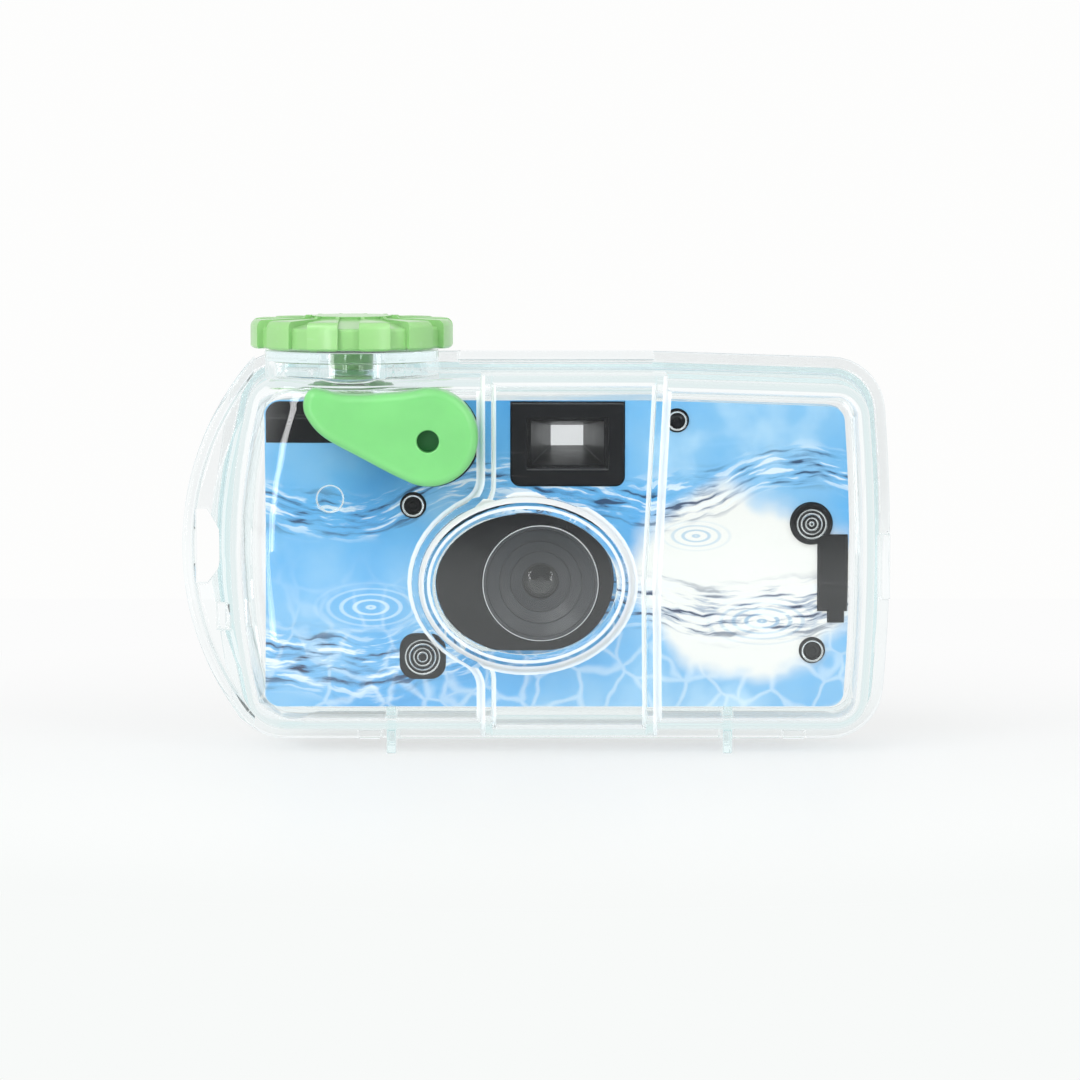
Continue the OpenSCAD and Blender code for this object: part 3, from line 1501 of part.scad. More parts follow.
// Frame of the camera: gate plate, shutter plate and tunnel, film chambers, deck and pins
module chassis() {
    side_room = sprocket_t / 2 + 0.6;
    color(grey_plastic) difference() {
        intersection() {
            union() {
                block([plate_x0, gate_y, floor_z], [plate_x1, gate_y + gate_t, deck_z + lap]);
                block([plate_x0 + 0.5, plate_y, floor_z], [plate_x1, plate_y + plate_t, deck_z + lap]);
                light_tunnel(frame_t, plate_y + plate_t - lap, gate_y + lap);
                film_chambers();
                deck();
                spring_ledge();
                shutter_pins();
            }
            deep(cam_front, cam_back) polygon(cam_outline(-cam_wall - slip));
        }
        light_tunnel(0, plate_y + plate_t, gate_y + gate_t + lap);
        rod(lens_x, lens_z, stop_r + 0.8, plate_y - over, plate_y + plate_t + over);
        // Windows and bearings
        post(sprocket_x, sprocket_y, sprocket_r + 0.5, sprocket_z - side_room, sprocket_z + side_room);
        post(sprocket_x, sprocket_y, axle_r + run_gap, sprocket_z - axle_drop - over, beyond);
        post(wind_x, wind_y, spool_head_r + clear, can_z1 - over, deck_z + deck_t + over);
        post(supply_x, wind_y, spool_pin_r + run_gap, 0, beyond);
        finder_taper(cam_front + cam_wall - slip, finder_back + over, finder_win_w + 3, finder_win_h + 3,
            eye_hole_w + 1, eye_hole_h + 1);
        block([finder_x - finder_w / 2 - clear, -beyond, finder_z - finder_h / 2 - clear],
            [finder_x + finder_w / 2 + clear, cam_front + cam_wall + over, beyond]);
    }
}

front_shell();
rear_shell();
seal_ring();
knob_washer();
front_cover();
back_cover();
film_door();
chassis();
front_label();
viewfinder_frame();
viewfinder_objective();
viewfinder_eyepiece();
lens_hood();
taking_lens();
lens_retainer();
aperture_plate();
film_can();
film_can_caps();
light_trap();
film_strip();
counter_lens();
release_spring();
blade_spring();
advance_knob();
knob_shaft();
knob_o_ring();
knob_clip();
advance_wheel();
can_spool();
film_on_core();
supply_spool();
film_roll();
sprocket();
counter_dial();
shutter_lever();
lever_shaft();
lever_o_ring();
lever_crank();
release_tab();
shutter_blade();
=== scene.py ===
"""Looks of a waterproof single-use film camera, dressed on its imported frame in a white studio.

Lengths are in metres. X runs to the right of the picture, Y away from the viewer and Z up.
"""

import json
import logging
import math
from dataclasses import dataclass
from enum import Enum
from typing import Any, Optional, Sequence, Union

import bmesh
import bpy
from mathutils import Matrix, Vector
from mathutils.bvhtree import BVHTree
from mathutils.kdtree import KDTree
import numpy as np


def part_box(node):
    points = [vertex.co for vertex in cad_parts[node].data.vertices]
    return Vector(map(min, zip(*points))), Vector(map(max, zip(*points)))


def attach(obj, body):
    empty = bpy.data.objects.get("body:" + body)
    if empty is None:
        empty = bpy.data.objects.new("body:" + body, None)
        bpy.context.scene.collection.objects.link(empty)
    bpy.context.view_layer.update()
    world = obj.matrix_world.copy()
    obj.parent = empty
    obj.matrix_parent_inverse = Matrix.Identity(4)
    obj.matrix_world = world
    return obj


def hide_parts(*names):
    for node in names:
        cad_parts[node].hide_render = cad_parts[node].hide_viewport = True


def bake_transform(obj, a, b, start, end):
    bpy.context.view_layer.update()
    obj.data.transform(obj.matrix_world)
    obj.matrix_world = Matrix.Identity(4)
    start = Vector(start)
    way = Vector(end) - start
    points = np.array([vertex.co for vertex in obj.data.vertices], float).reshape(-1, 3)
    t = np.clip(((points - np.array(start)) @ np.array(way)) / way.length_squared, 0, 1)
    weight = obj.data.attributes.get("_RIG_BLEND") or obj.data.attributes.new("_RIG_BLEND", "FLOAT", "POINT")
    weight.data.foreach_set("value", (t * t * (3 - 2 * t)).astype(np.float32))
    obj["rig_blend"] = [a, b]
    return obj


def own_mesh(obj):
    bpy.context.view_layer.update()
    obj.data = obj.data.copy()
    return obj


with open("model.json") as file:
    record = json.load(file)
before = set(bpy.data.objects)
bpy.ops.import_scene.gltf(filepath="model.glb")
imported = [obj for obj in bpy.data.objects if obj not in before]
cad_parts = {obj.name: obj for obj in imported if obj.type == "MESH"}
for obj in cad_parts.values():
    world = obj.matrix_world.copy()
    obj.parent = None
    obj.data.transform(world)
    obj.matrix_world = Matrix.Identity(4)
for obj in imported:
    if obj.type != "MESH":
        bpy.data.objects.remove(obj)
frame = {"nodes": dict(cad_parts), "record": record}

Pair = tuple[float, float]
Triple = tuple[float, float, float]
Colour = tuple[float, float, float, float]
Feed = Union[float, Sequence[float], bpy.types.NodeSocket]

LOG = logging.getLogger("film_camera")
MM = 0.001
WELD = 0.002 * MM
FLAT_FOLD = math.radians(0.4)
SHARP_FOLD = math.radians(32.0)
ROUND_TRIES = 6
ROUND_STEPS = 4
LEAST_AREA = 1e-9
NUMBER = "NodeSocketFloat"
TINT = "NodeSocketColor"
# Painted highlight: the face attribute that marks where it goes, and the matt white that it shows.
PAINTED_HIGHLIGHT = "painted_highlight"
PAINTED_HIGHLIGHT_WHITE: Colour = (0.96, 0.98, 0.98, 1.0)
CLEAR_FACE: Colour = (0.975, 0.98, 0.98, 1.0)
GUIDED_BOUNCES = 1.5
# Painted light: the pale glow that clear walls show to rays guided along inside them.
PAINTED_GUIDED_GLOW: Colour = (0.82, 0.87, 0.87, 1.0)


def ink(red: int, green: int, blue: int) -> Colour:
    """Turns an 8-bit display colour into the linear values that a shader takes.

    Args:
        red: Red from 0 to 255.
        green: Green from 0 to 255.
        blue: Blue from 0 to 255.

    Returns:
        The linear colour with full opacity.
    """
    parts = [level / 255 for level in (red, green, blue)]
    flat = [p / 12.92 if p <= 0.04045 else ((p + 0.055) / 1.055) ** 2.4 for p in parts]
    return (flat[0], flat[1], flat[2], 1.0)


class Graph:
    """Lays shader nodes in one tree and links them as they are made."""

    def __init__(self, tree: bpy.types.NodeTree) -> None:
        """Takes a tree and empties it."""
        self.tree = tree
        self.tree.nodes.clear()

    def feed(self, socket: bpy.types.NodeSocket, value: Feed) -> None:
        """Links an output to a socket, or sets the socket's own value.

        Args:
            socket: The input that is fed.
            value: An output socket, a number or a colour.
        """
        if isinstance(value, bpy.types.NodeSocket):
            self.tree.links.new(value, socket)
        else:
            socket.default_value = value

    def node(self, kind: str, inputs: Optional[dict] = None, **settings: Any) -> bpy.types.Node:
        """Adds a node.

        Args:
            kind: Blender's name of the node type.
            inputs: Values or outputs for its inputs, by name or place.
            **settings: Properties of the node itself.

        Returns:
            The new node.
        """
        made = self.tree.nodes.new(kind)
        for name, value in settings.items():
            setattr(made, name, value)
        for key, value in (inputs or {}).items():
            self.feed(made.inputs[key], value)
        return made

    def math(self, operation: str, first: Feed, second: Feed = 0.0) -> bpy.types.NodeSocket:
        """Adds a Math node and returns its value."""
        return self.node("ShaderNodeMath", {0: first, 1: second}, operation=operation).outputs[0]

    def reach(self, east: Feed, north: Feed) -> bpy.types.NodeSocket:
        """Returns how far a point is from a middle, from its two distances to it."""
        square = self.math("ADD", self.math("POWER", east, 2.0), self.math("POWER", north, 2.0))
        return self.math("SQRT", square)

    def span(self, value: Feed, start: float, end: float) -> bpy.types.NodeSocket:
        """Eases a value from 0 at one level to 1 at another.

        Args:
            value: The value that is read.
            start: Where the result is 0.
            end: Where the result is 1.

        Returns:
            The eased value.
        """
        inputs = {"Value": value, "From Min": start, "From Max": end}
        made = self.node("ShaderNodeMapRange", inputs, interpolation_type="SMOOTHSTEP")
        return made.outputs["Result"]

    def mix(self, share: Feed, first: Feed, second: Feed, way: str = "MIX") -> bpy.types.NodeSocket:
        """Mixes two colours.

        Args:
            share: How much of the second colour shows.
            first: The colour underneath.
            second: The colour on top.
            way: Blender's name of the blend.

        Returns:
            The mixed colour.
        """
        made = self.node("ShaderNodeMix", {0: share, 6: first, 7: second}, data_type="RGBA", blend_type=way)
        return made.outputs[2]

    def noise(self, place: Feed, scale: Feed, detail: float) -> bpy.types.NodeSocket:
        """Adds a Noise texture and returns its value."""
        inputs = {"Vector": place, "Scale": scale, "Detail": detail}
        return self.node("ShaderNodeTexNoise", inputs).outputs[0]

    def place(self) -> bpy.types.NodeSocket:
        """Returns the point on the piece, in metres."""
        return self.node("ShaderNodeTexCoord").outputs["Object"]

    def stretch(self, place: Feed, scale: Sequence[float], turn: float = 0.0) -> bpy.types.NodeSocket:
        """Scales and turns a point.

        Args:
            place: The point.
            scale: A factor for each axis.
            turn: A turn about Y, in radians.

        Returns:
            The new point.
        """
        inputs = {"Vector": place, "Rotation": (0.0, turn, 0.0), "Scale": scale}
        return self.node("ShaderNodeMapping", inputs).outputs[0]

    def ramp(self, value: Feed, stops: Sequence[tuple[float, Colour]]) -> bpy.types.NodeSocket:
        """Turns a value into a colour along a row of stops.

        Args:
            value: The value, from 0 to 1.
            stops: Pairs of a level and a colour, in order.

        Returns:
            The colour.
        """
        made = self.node("ShaderNodeValToRGB", {"Fac": value})
        row = made.color_ramp.elements
        while len(row) < len(stops):
            row.new(1.0)
        for element, (level, colour) in zip(row, stops):
            element.position = level
            element.color = colour
        return made.outputs["Color"]


class Effect(Enum):
    """The surface effects that several finishes share."""

    GRAIN = "moulded_grain"
    MARKS = "handling_marks"
    DRIFT = "tint_drift"


class Effects:
    """Builds each shared effect once, as a shader node group."""

    def __init__(self) -> None:
        """Makes the three groups."""
        self.trees = {
            Effect.GRAIN: self._grain(),
            Effect.MARKS: self._marks(),
            Effect.DRIFT: self._drift(),
        }

    @staticmethod
    def _open(
        effect: Effect, inputs: dict[str, str], outputs: dict[str, str]
    ) -> tuple[Graph, bpy.types.Node, bpy.types.Node]:
        """Starts a group with named sockets.

        Args:
            effect: Which effect it is.
            inputs: Socket type by input name.
            outputs: Socket type by output name.

        Returns:
            The group's graph, its input node and its output node.
        """
        tree = bpy.data.node_groups.new(effect.value, "ShaderNodeTree")
        graph = Graph(tree)
        for name, kind in inputs.items():
            tree.interface.new_socket(name=name, in_out="INPUT", socket_type=kind)
        for name, kind in outputs.items():
            tree.interface.new_socket(name=name, in_out="OUTPUT", socket_type=kind)
        return graph, graph.node("NodeGroupInput"), graph.node("NodeGroupOutput")

    def _grain(self) -> bpy.types.NodeTree:
        """Makes the fine texture of a moulded skin, as a height and an uneven gloss.

        Returns:
            The group.
        """
        graph, given, result = self._open(
            Effect.GRAIN,
            {"Scale": NUMBER, "Roughness": NUMBER, "Spread": NUMBER},
            {"Roughness": NUMBER, "Height": NUMBER},
        )
        place = graph.place()
        fine = graph.noise(place, given.outputs["Scale"], 3.0)
        broad = graph.noise(place, graph.math("MULTIPLY", given.outputs["Scale"], 0.06), 2.0)
        swing = graph.math("MULTIPLY", graph.math("SUBTRACT", broad, 0.5), given.outputs["Spread"])
        graph.feed(result.inputs["Roughness"], graph.math("ADD", given.outputs["Roughness"], swing))
        graph.feed(result.inputs["Height"], fine)
        return graph.tree

    def _marks(self) -> bpy.types.NodeTree:
        """Makes sparse hairline marks, as a mask.

        Returns:
            The group.
        """
        graph, given, result = self._open(
            Effect.MARKS, {"Scale": NUMBER, "Amount": NUMBER}, {"Mask": NUMBER}
        )
        place = graph.place()
        rows = []
        for turn in (0.5, 2.1):
            lines = graph.noise(graph.stretch(place, (0.04, 1.0, 1.0), turn), given.outputs["Scale"], 1.0)
            rows.append(graph.span(lines, 0.7, 0.76))
        mask = graph.math("MULTIPLY", graph.math("MAXIMUM", rows[0], rows[1]), given.outputs["Amount"])
        graph.feed(result.inputs["Mask"], mask)
        return graph.tree

    def _drift(self) -> bpy.types.NodeTree:
        """Makes a colour that wanders a little over the piece, as moulded plastic does.

        Returns:
            The group.
        """
        graph, given, result = self._open(
            Effect.DRIFT, {"Colour": TINT, "Depth": NUMBER, "Scale": NUMBER}, {"Colour": TINT}
        )
        cloud = graph.noise(graph.place(), given.outputs["Scale"], 3.0)
        share = graph.math("MULTIPLY", graph.span(cloud, 0.3, 0.7), given.outputs["Depth"])
        dim = graph.mix(1.0, given.outputs["Colour"], (0.6, 0.62, 0.64, 1.0), "MULTIPLY")
        graph.feed(result.inputs["Colour"], graph.mix(share, given.outputs["Colour"], dim))
        return graph.tree


class Surface:
    """One material under construction, with the shared effects at hand."""

    def __init__(self, name: str, effects: Effects) -> None:
        """Makes a node material with a plain shader.

        Args:
            name: The material's name.
            effects: The shared groups.
        """
        self.material = bpy.data.materials.new(name)
        self.material.use_nodes = True
        self.graph = Graph(self.material.node_tree)
        self.effects = effects
        self.output = self.graph.node("ShaderNodeOutputMaterial")
        self.shader = self.graph.node("ShaderNodeBsdfPrincipled")
        self.graph.feed(self.output.inputs["Surface"], self.shader.outputs[0])

    def effect(self, effect: Effect, inputs: dict[str, Feed]) -> bpy.types.Node:
        """Places a shared group with its own values.

        Args:
            effect: Which group.
            inputs: Its values by name.

        Returns:
            The group node.
        """
        made = self.graph.node("ShaderNodeGroup", node_tree=self.effects.trees[effect])
        for name, value in inputs.items():
            self.graph.feed(made.inputs[name], value)
        return made

    def set(self, **sockets: Feed) -> None:
        """Sets the shader's own sockets, with underscores for the spaces in their names."""
        for name, value in sockets.items():
            self.graph.feed(self.shader.inputs[name.replace("_", " ")], value)

    def skin(self, scale: float, roughness: float, spread: float, depth: float) -> None:
        """Gives the shader a moulded skin.

        Args:
            scale: Grains to the metre.
            roughness: The mean roughness.
            spread: How far the roughness wanders.
            depth: Height of the grain, in metres.
        """
        grain = self.effect(Effect.GRAIN, {"Scale": scale, "Roughness": roughness, "Spread": spread})
        self.set(Roughness=grain.outputs["Roughness"])
        self.bump(grain.outputs["Height"], depth)

    def bump(self, height: Feed, depth: float) -> None:
        """Raises the surface by a height map.

        Args:
            height: The map, from 0 to 1.
            depth: What 1 stands for, in metres.
        """
        made = self.graph.node("ShaderNodeBump", {"Height": height, "Distance": depth, "Strength": 1.0})
        self.set(Normal=made.outputs["Normal"])

    def see_through(self, painted_highlight: float) -> None:
        """Makes the piece clear for every kind of light.

        Lamp light and bounced light pass straight through. A ray that has been reflected at least twice, as
        one that is guided along inside the piece has been, meets a painted glow: an emission at a plain pale
        level that stands in for the light that the walls guide.

        Args:
            painted_highlight: How much of the light the faces that are marked for the painted highlight
                scatter as matt white, which stands in for their highlights.
        """
        graph = self.graph
        clear = self.shader
        # Painted highlight: marked faces mix in a matt white that stands in for the highlights on their
        # rounding.
        if painted_highlight:
            marked = graph.node("ShaderNodeAttribute", attribute_name=PAINTED_HIGHLIGHT).outputs["Fac"]
            painted_white = graph.node("ShaderNodeBsdfDiffuse", {"Color": PAINTED_HIGHLIGHT_WHITE})
            clear = self._blend(graph.math("MULTIPLY", marked, painted_highlight), clear, painted_white)
        ray = graph.node("ShaderNodeLightPath").outputs
        # Painted light: the emission below stands in for light guided along inside the walls.
        guided = graph.math("GREATER_THAN", ray["Glossy Depth"], GUIDED_BOUNCES)
        pale = graph.node("ShaderNodeEmission", {"Color": PAINTED_GUIDED_GLOW, "Strength": 1.0})
        clear = self._blend(guided, clear, pale)
        straight = graph.math("MAXIMUM", ray["Is Shadow Ray"], ray["Is Diffuse Ray"])
        through = graph.node("ShaderNodeBsdfTransparent", {"Color": CLEAR_FACE})
        clear = self._blend(straight, clear, through)
        graph.feed(self.output.inputs["Surface"], clear.outputs[0])

    def _blend(self, share: Feed, first: bpy.types.Node, second: bpy.types.Node) -> bpy.types.Node:
        """Returns a node that mixes two shaders, with a share of the second."""
        inputs = {0: share, 1: first.outputs[0], 2: second.outputs[0]}
        return self.graph.node("ShaderNodeMixShader", inputs)


@dataclass(frozen=True)
class Finish:
    """What a piece is made of."""

    name: str

    def make(self, effects: Effects) -> bpy.types.Material:
        """Builds the material.

        Args:
            effects: The shared groups.

        Returns:
            The material.
        """
        surface = Surface(self.name, effects)
        self.lay(surface)
        return surface.material

    def lay(self, surface: Surface) -> None:
        """Lays the nodes of one kind of finish."""
        raise NotImplementedError


@dataclass(frozen=True)
class ClearPlastic(Finish):
    """Clear moulded plastic that darkens to a tint along its length."""

    colour: Colour
    roughness: float
    index: float
    tint: Colour
    density: float
    wave: float
    # Share of painted white highlight on the faces marked for it.
    painted_highlight: float = 0.0

    def lay(self, surface: Surface) -> None:
        """Lays clear plastic with faint flow waves and hairline marks.

        Args:
            surface: The material under construction.
        """
        graph = surface.graph
        drift = surface.effect(Effect.DRIFT, {"Colour": self.colour, "Depth": 0.04, "Scale": 60.0})
        surface.set(Base_Color=drift.outputs["Colour"], IOR=self.index, Transmission_Weight=1.0)
        grain = surface.effect(Effect.GRAIN, {"Scale": 70.0, "Roughness": self.roughness, "Spread": 0.02})
        marks = surface.effect(Effect.MARKS, {"Scale": 900.0, "Amount": 0.12})
        surface.set(Roughness=graph.math("ADD", grain.outputs["Roughness"], marks.outputs["Mask"]))
        surface.bump(grain.outputs["Height"], self.wave)
        inside = graph.node("ShaderNodeVolumeAbsorption", {"Color": self.tint, "Density": self.density})
        graph.feed(surface.output.inputs["Volume"], inside.outputs[0])
        surface.see_through(self.painted_highlight)


@dataclass(frozen=True)
class MouldedPlastic(Finish):
    """Opaque moulded plastic with a fine skin."""

    colour: Colour
    roughness: float
    grain: float
    depth: float
    coat: float = 0.0
    glow: float = 0.0
    gloss: float = 0.5

    def lay(self, surface: Surface) -> None:
        """Lays opaque plastic with its grain, drift of colour and hairline marks.

        Args:
            surface: The material under construction.
        """
        drift = surface.effect(Effect.DRIFT, {"Colour": self.colour, "Depth": 0.22, "Scale": 90.0})
        marks = surface.effect(Effect.MARKS, {"Scale": 700.0, "Amount": 0.04})
        pale = surface.graph.mix(marks.outputs["Mask"], drift.outputs["Colour"], (0.8, 0.8, 0.8, 1.0))
        surface.set(Base_Color=pale, Coat_Weight=self.coat, Coat_Roughness=0.12)
        surface.set(Specular_IOR_Level=self.gloss)
        surface.set(Subsurface_Weight=self.glow, Subsurface_Radius=(0.4, 1.0, 0.4), Subsurface_Scale=MM)
        surface.skin(self.grain, self.roughness, 0.12, self.depth)


@dataclass(frozen=True)
class HoodPlastic(Finish):
    """Black plastic of the lens hood, with a painted highlight: a thin pale ring round its rim."""

    colour: Colour
    pale: Colour
    middle: Pair
    highlight_ring: Pair
    roughness: float

    def lay(self, surface: Surface) -> None:
        """Lays black plastic, which turns pale between two radii round the lens, as a painted highlight.

        Args:
            surface: The material under construction.
        """
        graph = surface.graph
        parts = graph.node("ShaderNodeSeparateXYZ", {"Vector": graph.place()}).outputs
        east = graph.math("SUBTRACT", parts["X"], self.middle[0])
        north = graph.math("SUBTRACT", parts["Z"], self.middle[1])
        # Painted highlight: the pale ring stands in for light caught by the hood's rim.
        mask = graph.span(graph.reach(east, north), *self.highlight_ring)
        drift = surface.effect(Effect.DRIFT, {"Colour": self.colour, "Depth": 0.2, "Scale": 120.0})
        surface.set(Base_Color=graph.mix(mask, drift.outputs["Colour"], self.pale))
        surface.skin(5200.0, self.roughness, 0.1, 0.0003 * MM)


@dataclass(frozen=True)
class Rubber(Finish):
    """Soft rubber with a dull bloom."""

    colour: Colour
    bloom: Colour
    roughness: float

    def lay(self, surface: Surface) -> None:
        """Lays rubber with its bloom in patches.

        Args:
            surface: The material under construction.
        """
        graph = surface.graph
        cloud = graph.noise(graph.place(), 240.0, 4.0)
        share = graph.math("MULTIPLY", graph.span(cloud, 0.45, 0.75), 0.35)
        surface.set(Base_Color=graph.mix(share, self.colour, self.bloom), Specular_IOR_Level=0.35)
        surface.skin(1600.0, self.roughness, 0.15, 0.02 * MM)


@dataclass(frozen=True)
class Metal(Finish):
    """Sheet or wire metal with drawn lines."""

    colour: Colour
    roughness: float
    metallic: float
    lines: Triple

    def lay(self, surface: Surface) -> None:
        """Lays metal with its drawn lines and faint stains.

        Args:
            surface: The material under construction.
        """
        graph = surface.graph
        drift = surface.effect(Effect.DRIFT, {"Colour": self.colour, "Depth": 0.3, "Scale": 160.0})
        surface.set(Base_Color=drift.outputs["Colour"], Metallic=self.metallic)
        drawn = graph.noise(graph.stretch(graph.place(), self.lines), 1500.0, 3.0)
        swing = graph.math("MULTIPLY", graph.math("SUBTRACT", drawn, 0.5), 0.25)
        surface.set(Roughness=graph.math("ADD", swing, self.roughness))
        surface.bump(drawn, 0.012 * MM)


@dataclass(frozen=True)
class Velvet(Finish):
    """Short black pile that keeps light out of the film slot."""

    colour: Colour

    def lay(self, surface: Surface) -> None:
        """Lays velvet with its tufts and sheen.

        Args:
            surface: The material under construction.
        """
        tuft = surface.graph.noise(surface.graph.place(), 3200.0, 2.0)
        drift = surface.effect(Effect.DRIFT, {"Colour": self.colour, "Depth": 0.6, "Scale": 900.0})
        surface.set(Base_Color=drift.outputs["Colour"], Roughness=0.95)
        surface.set(Sheen_Weight=0.6, Sheen_Roughness=0.4)
        surface.bump(tuft, 0.15 * MM)


@dataclass(frozen=True)
class FilmBase(Finish):
    """Colour negative film, brown-violet and glossy, with a faint winding ripple."""

    colour: Colour
    edge: Colour

    def lay(self, surface: Surface) -> None:
        """Lays film with its winding lines.

        Args:
            surface: The material under construction.
        """
        graph = surface.graph
        wound = graph.noise(graph.stretch(graph.place(), (1.0, 1.0, 0.05)), 900.0, 2.0)
        shade = graph.mix(graph.span(wound, 0.35, 0.7), self.colour, self.edge)
        surface.set(Base_Color=shade, Coat_Weight=0.5, Coat_Roughness=0.1)
        surface.skin(500.0, 0.28, 0.1, 0.01 * MM)


@dataclass(frozen=True)
class Swell:
    """One swell of the sea on the label, as a band of streaks along a wavy course, in millimetres."""

    level: float
    lean: float
    height: float
    length: float
    start: float
    width: float
    strength: float


@dataclass(frozen=True)
class Ripple:
    """Flat rings round one drop on the label, in millimetres."""

    middle: Pair
    squash: float
    pitch: float
    reach: float
    colour: Colour
    strength: float


@dataclass(frozen=True)
class Sheet:
    """The graph of a printed sheet, with its point in metres, two ways in millimetres and a broad noise."""

    graph: Graph
    place: bpy.types.NodeSocket
    across: bpy.types.NodeSocket
    up: bpy.types.NodeSocket
    cloud: bpy.types.NodeSocket


@dataclass(frozen=True)
class SeaPrint(Finish):
    """A printed sheet with sunlit water, a pale shallow, streaked swells and rings of ripples."""

    deep: Colour = ink(66, 156, 221)
    mid: Colour = ink(94, 175, 230)
    light: Colour = ink(130, 190, 232)
    navy: Colour = ink(18, 44, 82)
    slate: Colour = ink(58, 112, 164)
    foam: Colour = ink(240, 247, 251)
    pale: Colour = ink(240, 239, 235)
    shallow: Pair = (38.0, 31.0)
    side_from: float = -10.4
    swells: tuple[Swell, ...] = (
        Swell(24.0, 0.13, 3.4, 12.0, 0.9, 7.5, 1.0),
        Swell(47.5, 0.05, 2.6, 9.0, 2.4, 5.5, 0.85),
    )
    ripples: tuple[Ripple, ...] = (
        Ripple((41.0, 24.5), 2.3, 2.3, 13.0, ink(118, 172, 208), 0.75),
        Ripple((29.0, 40.0), 2.3, 1.9, 8.0, ink(126, 180, 214), 0.6),
        Ripple((-30.0, 27.0), 2.3, 2.4, 13.0, ink(236, 246, 252), 0.6),
    )

    def lay(self, surface: Surface) -> None:
        """Lays the design out in millimetres on the label, one thing over the other.

        Args:
            surface: The material under construction.
        """
        graph = surface.graph
        place = graph.place()
        parts = graph.node("ShaderNodeSeparateXYZ", {"Vector": place}).outputs
        across, back, up = (graph.math("MULTIPLY", parts[axis], 1 / MM) for axis in "XYZ")
        sheet = Sheet(graph, place, across, up, graph.noise(place, 42.0, 4.0))
        art = self._shallow(sheet, self._light_net(sheet, self._water(sheet)))
        for ripple in self.ripples:
            art = self._ripple(sheet, ripple, art)
        for swell in self.swells:
            art = self._swell(sheet, swell, art)
        wrap = graph.mix(graph.span(sheet.cloud, 0.4, 0.62), ink(234, 241, 245), ink(164, 211, 242))
        art = graph.mix(graph.span(back, self.side_from - 0.1, self.side_from), art, wrap)
        drift = surface.effect(Effect.DRIFT, {"Colour": art, "Depth": 0.06, "Scale": 2600.0})
        surface.set(Base_Color=drift.outputs["Colour"], Coat_Weight=0.25, Coat_Roughness=0.2)
        surface.skin(2200.0, 0.4, 0.1, 0.006 * MM)

    def _water(self, sheet: Sheet) -> bpy.types.NodeSocket:
        """Lays the ground colour, lighter towards the bottom and the top right, with drifting patches.

        Args:
            sheet: The graph and the places on the sheet.

        Returns:
            The ground colour.
        """
        graph = sheet.graph
        rise = graph.math("MULTIPLY", graph.math("SUBTRACT", sheet.up, 36.0), -0.006)
        patch = graph.math("MULTIPLY", graph.math("SUBTRACT", sheet.cloud, 0.5), 2.2)
        sun = graph.math("MULTIPLY", graph.span(sheet.across, 8.0, 34.0), graph.span(sheet.up, 38.0, 60.0))
        tone = graph.math("ADD", graph.math("ADD", patch, rise), graph.math("MULTIPLY", sun, 0.5))
        stops = ((0.0, self.deep), (0.4, self.mid), (0.75, self.light), (1.0, ink(184, 220, 243)))
        return graph.ramp(graph.math("ADD", tone, 0.42), stops)

    def _light_net(self, sheet: Sheet, under: Feed) -> bpy.types.NodeSocket:
        """Lays the bright net that sun draws through shallow water, fading upwards.

        Args:
            sheet: The graph and the places on the sheet.
            under: The colour underneath.

        Returns:
            The colour with the net on it.
        """
        graph = sheet.graph
        bend = graph.node("ShaderNodeTexNoise", {"Vector": sheet.place, "Scale": 110.0, "Detail": 2.0})
        moved = graph.node(
            "ShaderNodeVectorMath",
            {0: bend.outputs["Color"], 1: (0.006, 0.006, 0.006), 2: sheet.place},
            operation="MULTIPLY_ADD",
        )
        cells = graph.node(
            "ShaderNodeTexVoronoi",
            {"Vector": moved.outputs[0], "Scale": 150.0},
            feature="DISTANCE_TO_EDGE",
        )
        line = graph.span(cells.outputs["Distance"], 0.1, 0.0)
        fade = graph.math("MULTIPLY", graph.span(sheet.up, 40.0, 10.0), 0.4)
        return graph.mix(graph.math("MULTIPLY", line, fade), under, self.foam)

    def _shallow(self, sheet: Sheet, under: Feed) -> bpy.types.NodeSocket:
        """Lays the pale shallow at the right, with a wandering edge.

        Args:
            sheet: The graph and the places on the sheet.
            under: The colour underneath.

        Returns:
            The colour with the shallow on it.
        """
        graph = sheet.graph
        east = graph.math("MULTIPLY", graph.math("SUBTRACT", sheet.across, self.shallow[0]), 0.95)
        north = graph.math("SUBTRACT", sheet.up, self.shallow[1])
        wobble = graph.math("MULTIPLY", graph.math("SUBTRACT", sheet.cloud, 0.5), 26.0)
        edge = graph.math("ADD", graph.reach(east, north), wobble)
        return graph.mix(graph.span(edge, 21.0, 15.0), under, self.pale)

    @staticmethod
    def _ripple(sheet: Sheet, ripple: Ripple, under: Feed) -> bpy.types.NodeSocket:
        """Lays one set of flat rings, fading outwards.

        Args:
            sheet: The graph and the places on the sheet.
            ripple: The rings' middle, pitch and reach.
            under: The colour underneath.

        Returns:
            The colour with the rings on it.
        """
        graph = sheet.graph
        east = graph.math("SUBTRACT", sheet.across, ripple.middle[0])
        north = graph.math("MULTIPLY", graph.math("SUBTRACT", sheet.up, ripple.middle[1]), ripple.squash)
        reach = graph.reach(east, north)
        wave = graph.math("SINE", graph.math("MULTIPLY", reach, math.tau / ripple.pitch))
        fade = graph.math("MULTIPLY", graph.span(reach, ripple.reach, 1.5), ripple.strength)
        return graph.mix(graph.math("MULTIPLY", graph.span(wave, 0.1, 0.95), fade), under, ripple.colour)

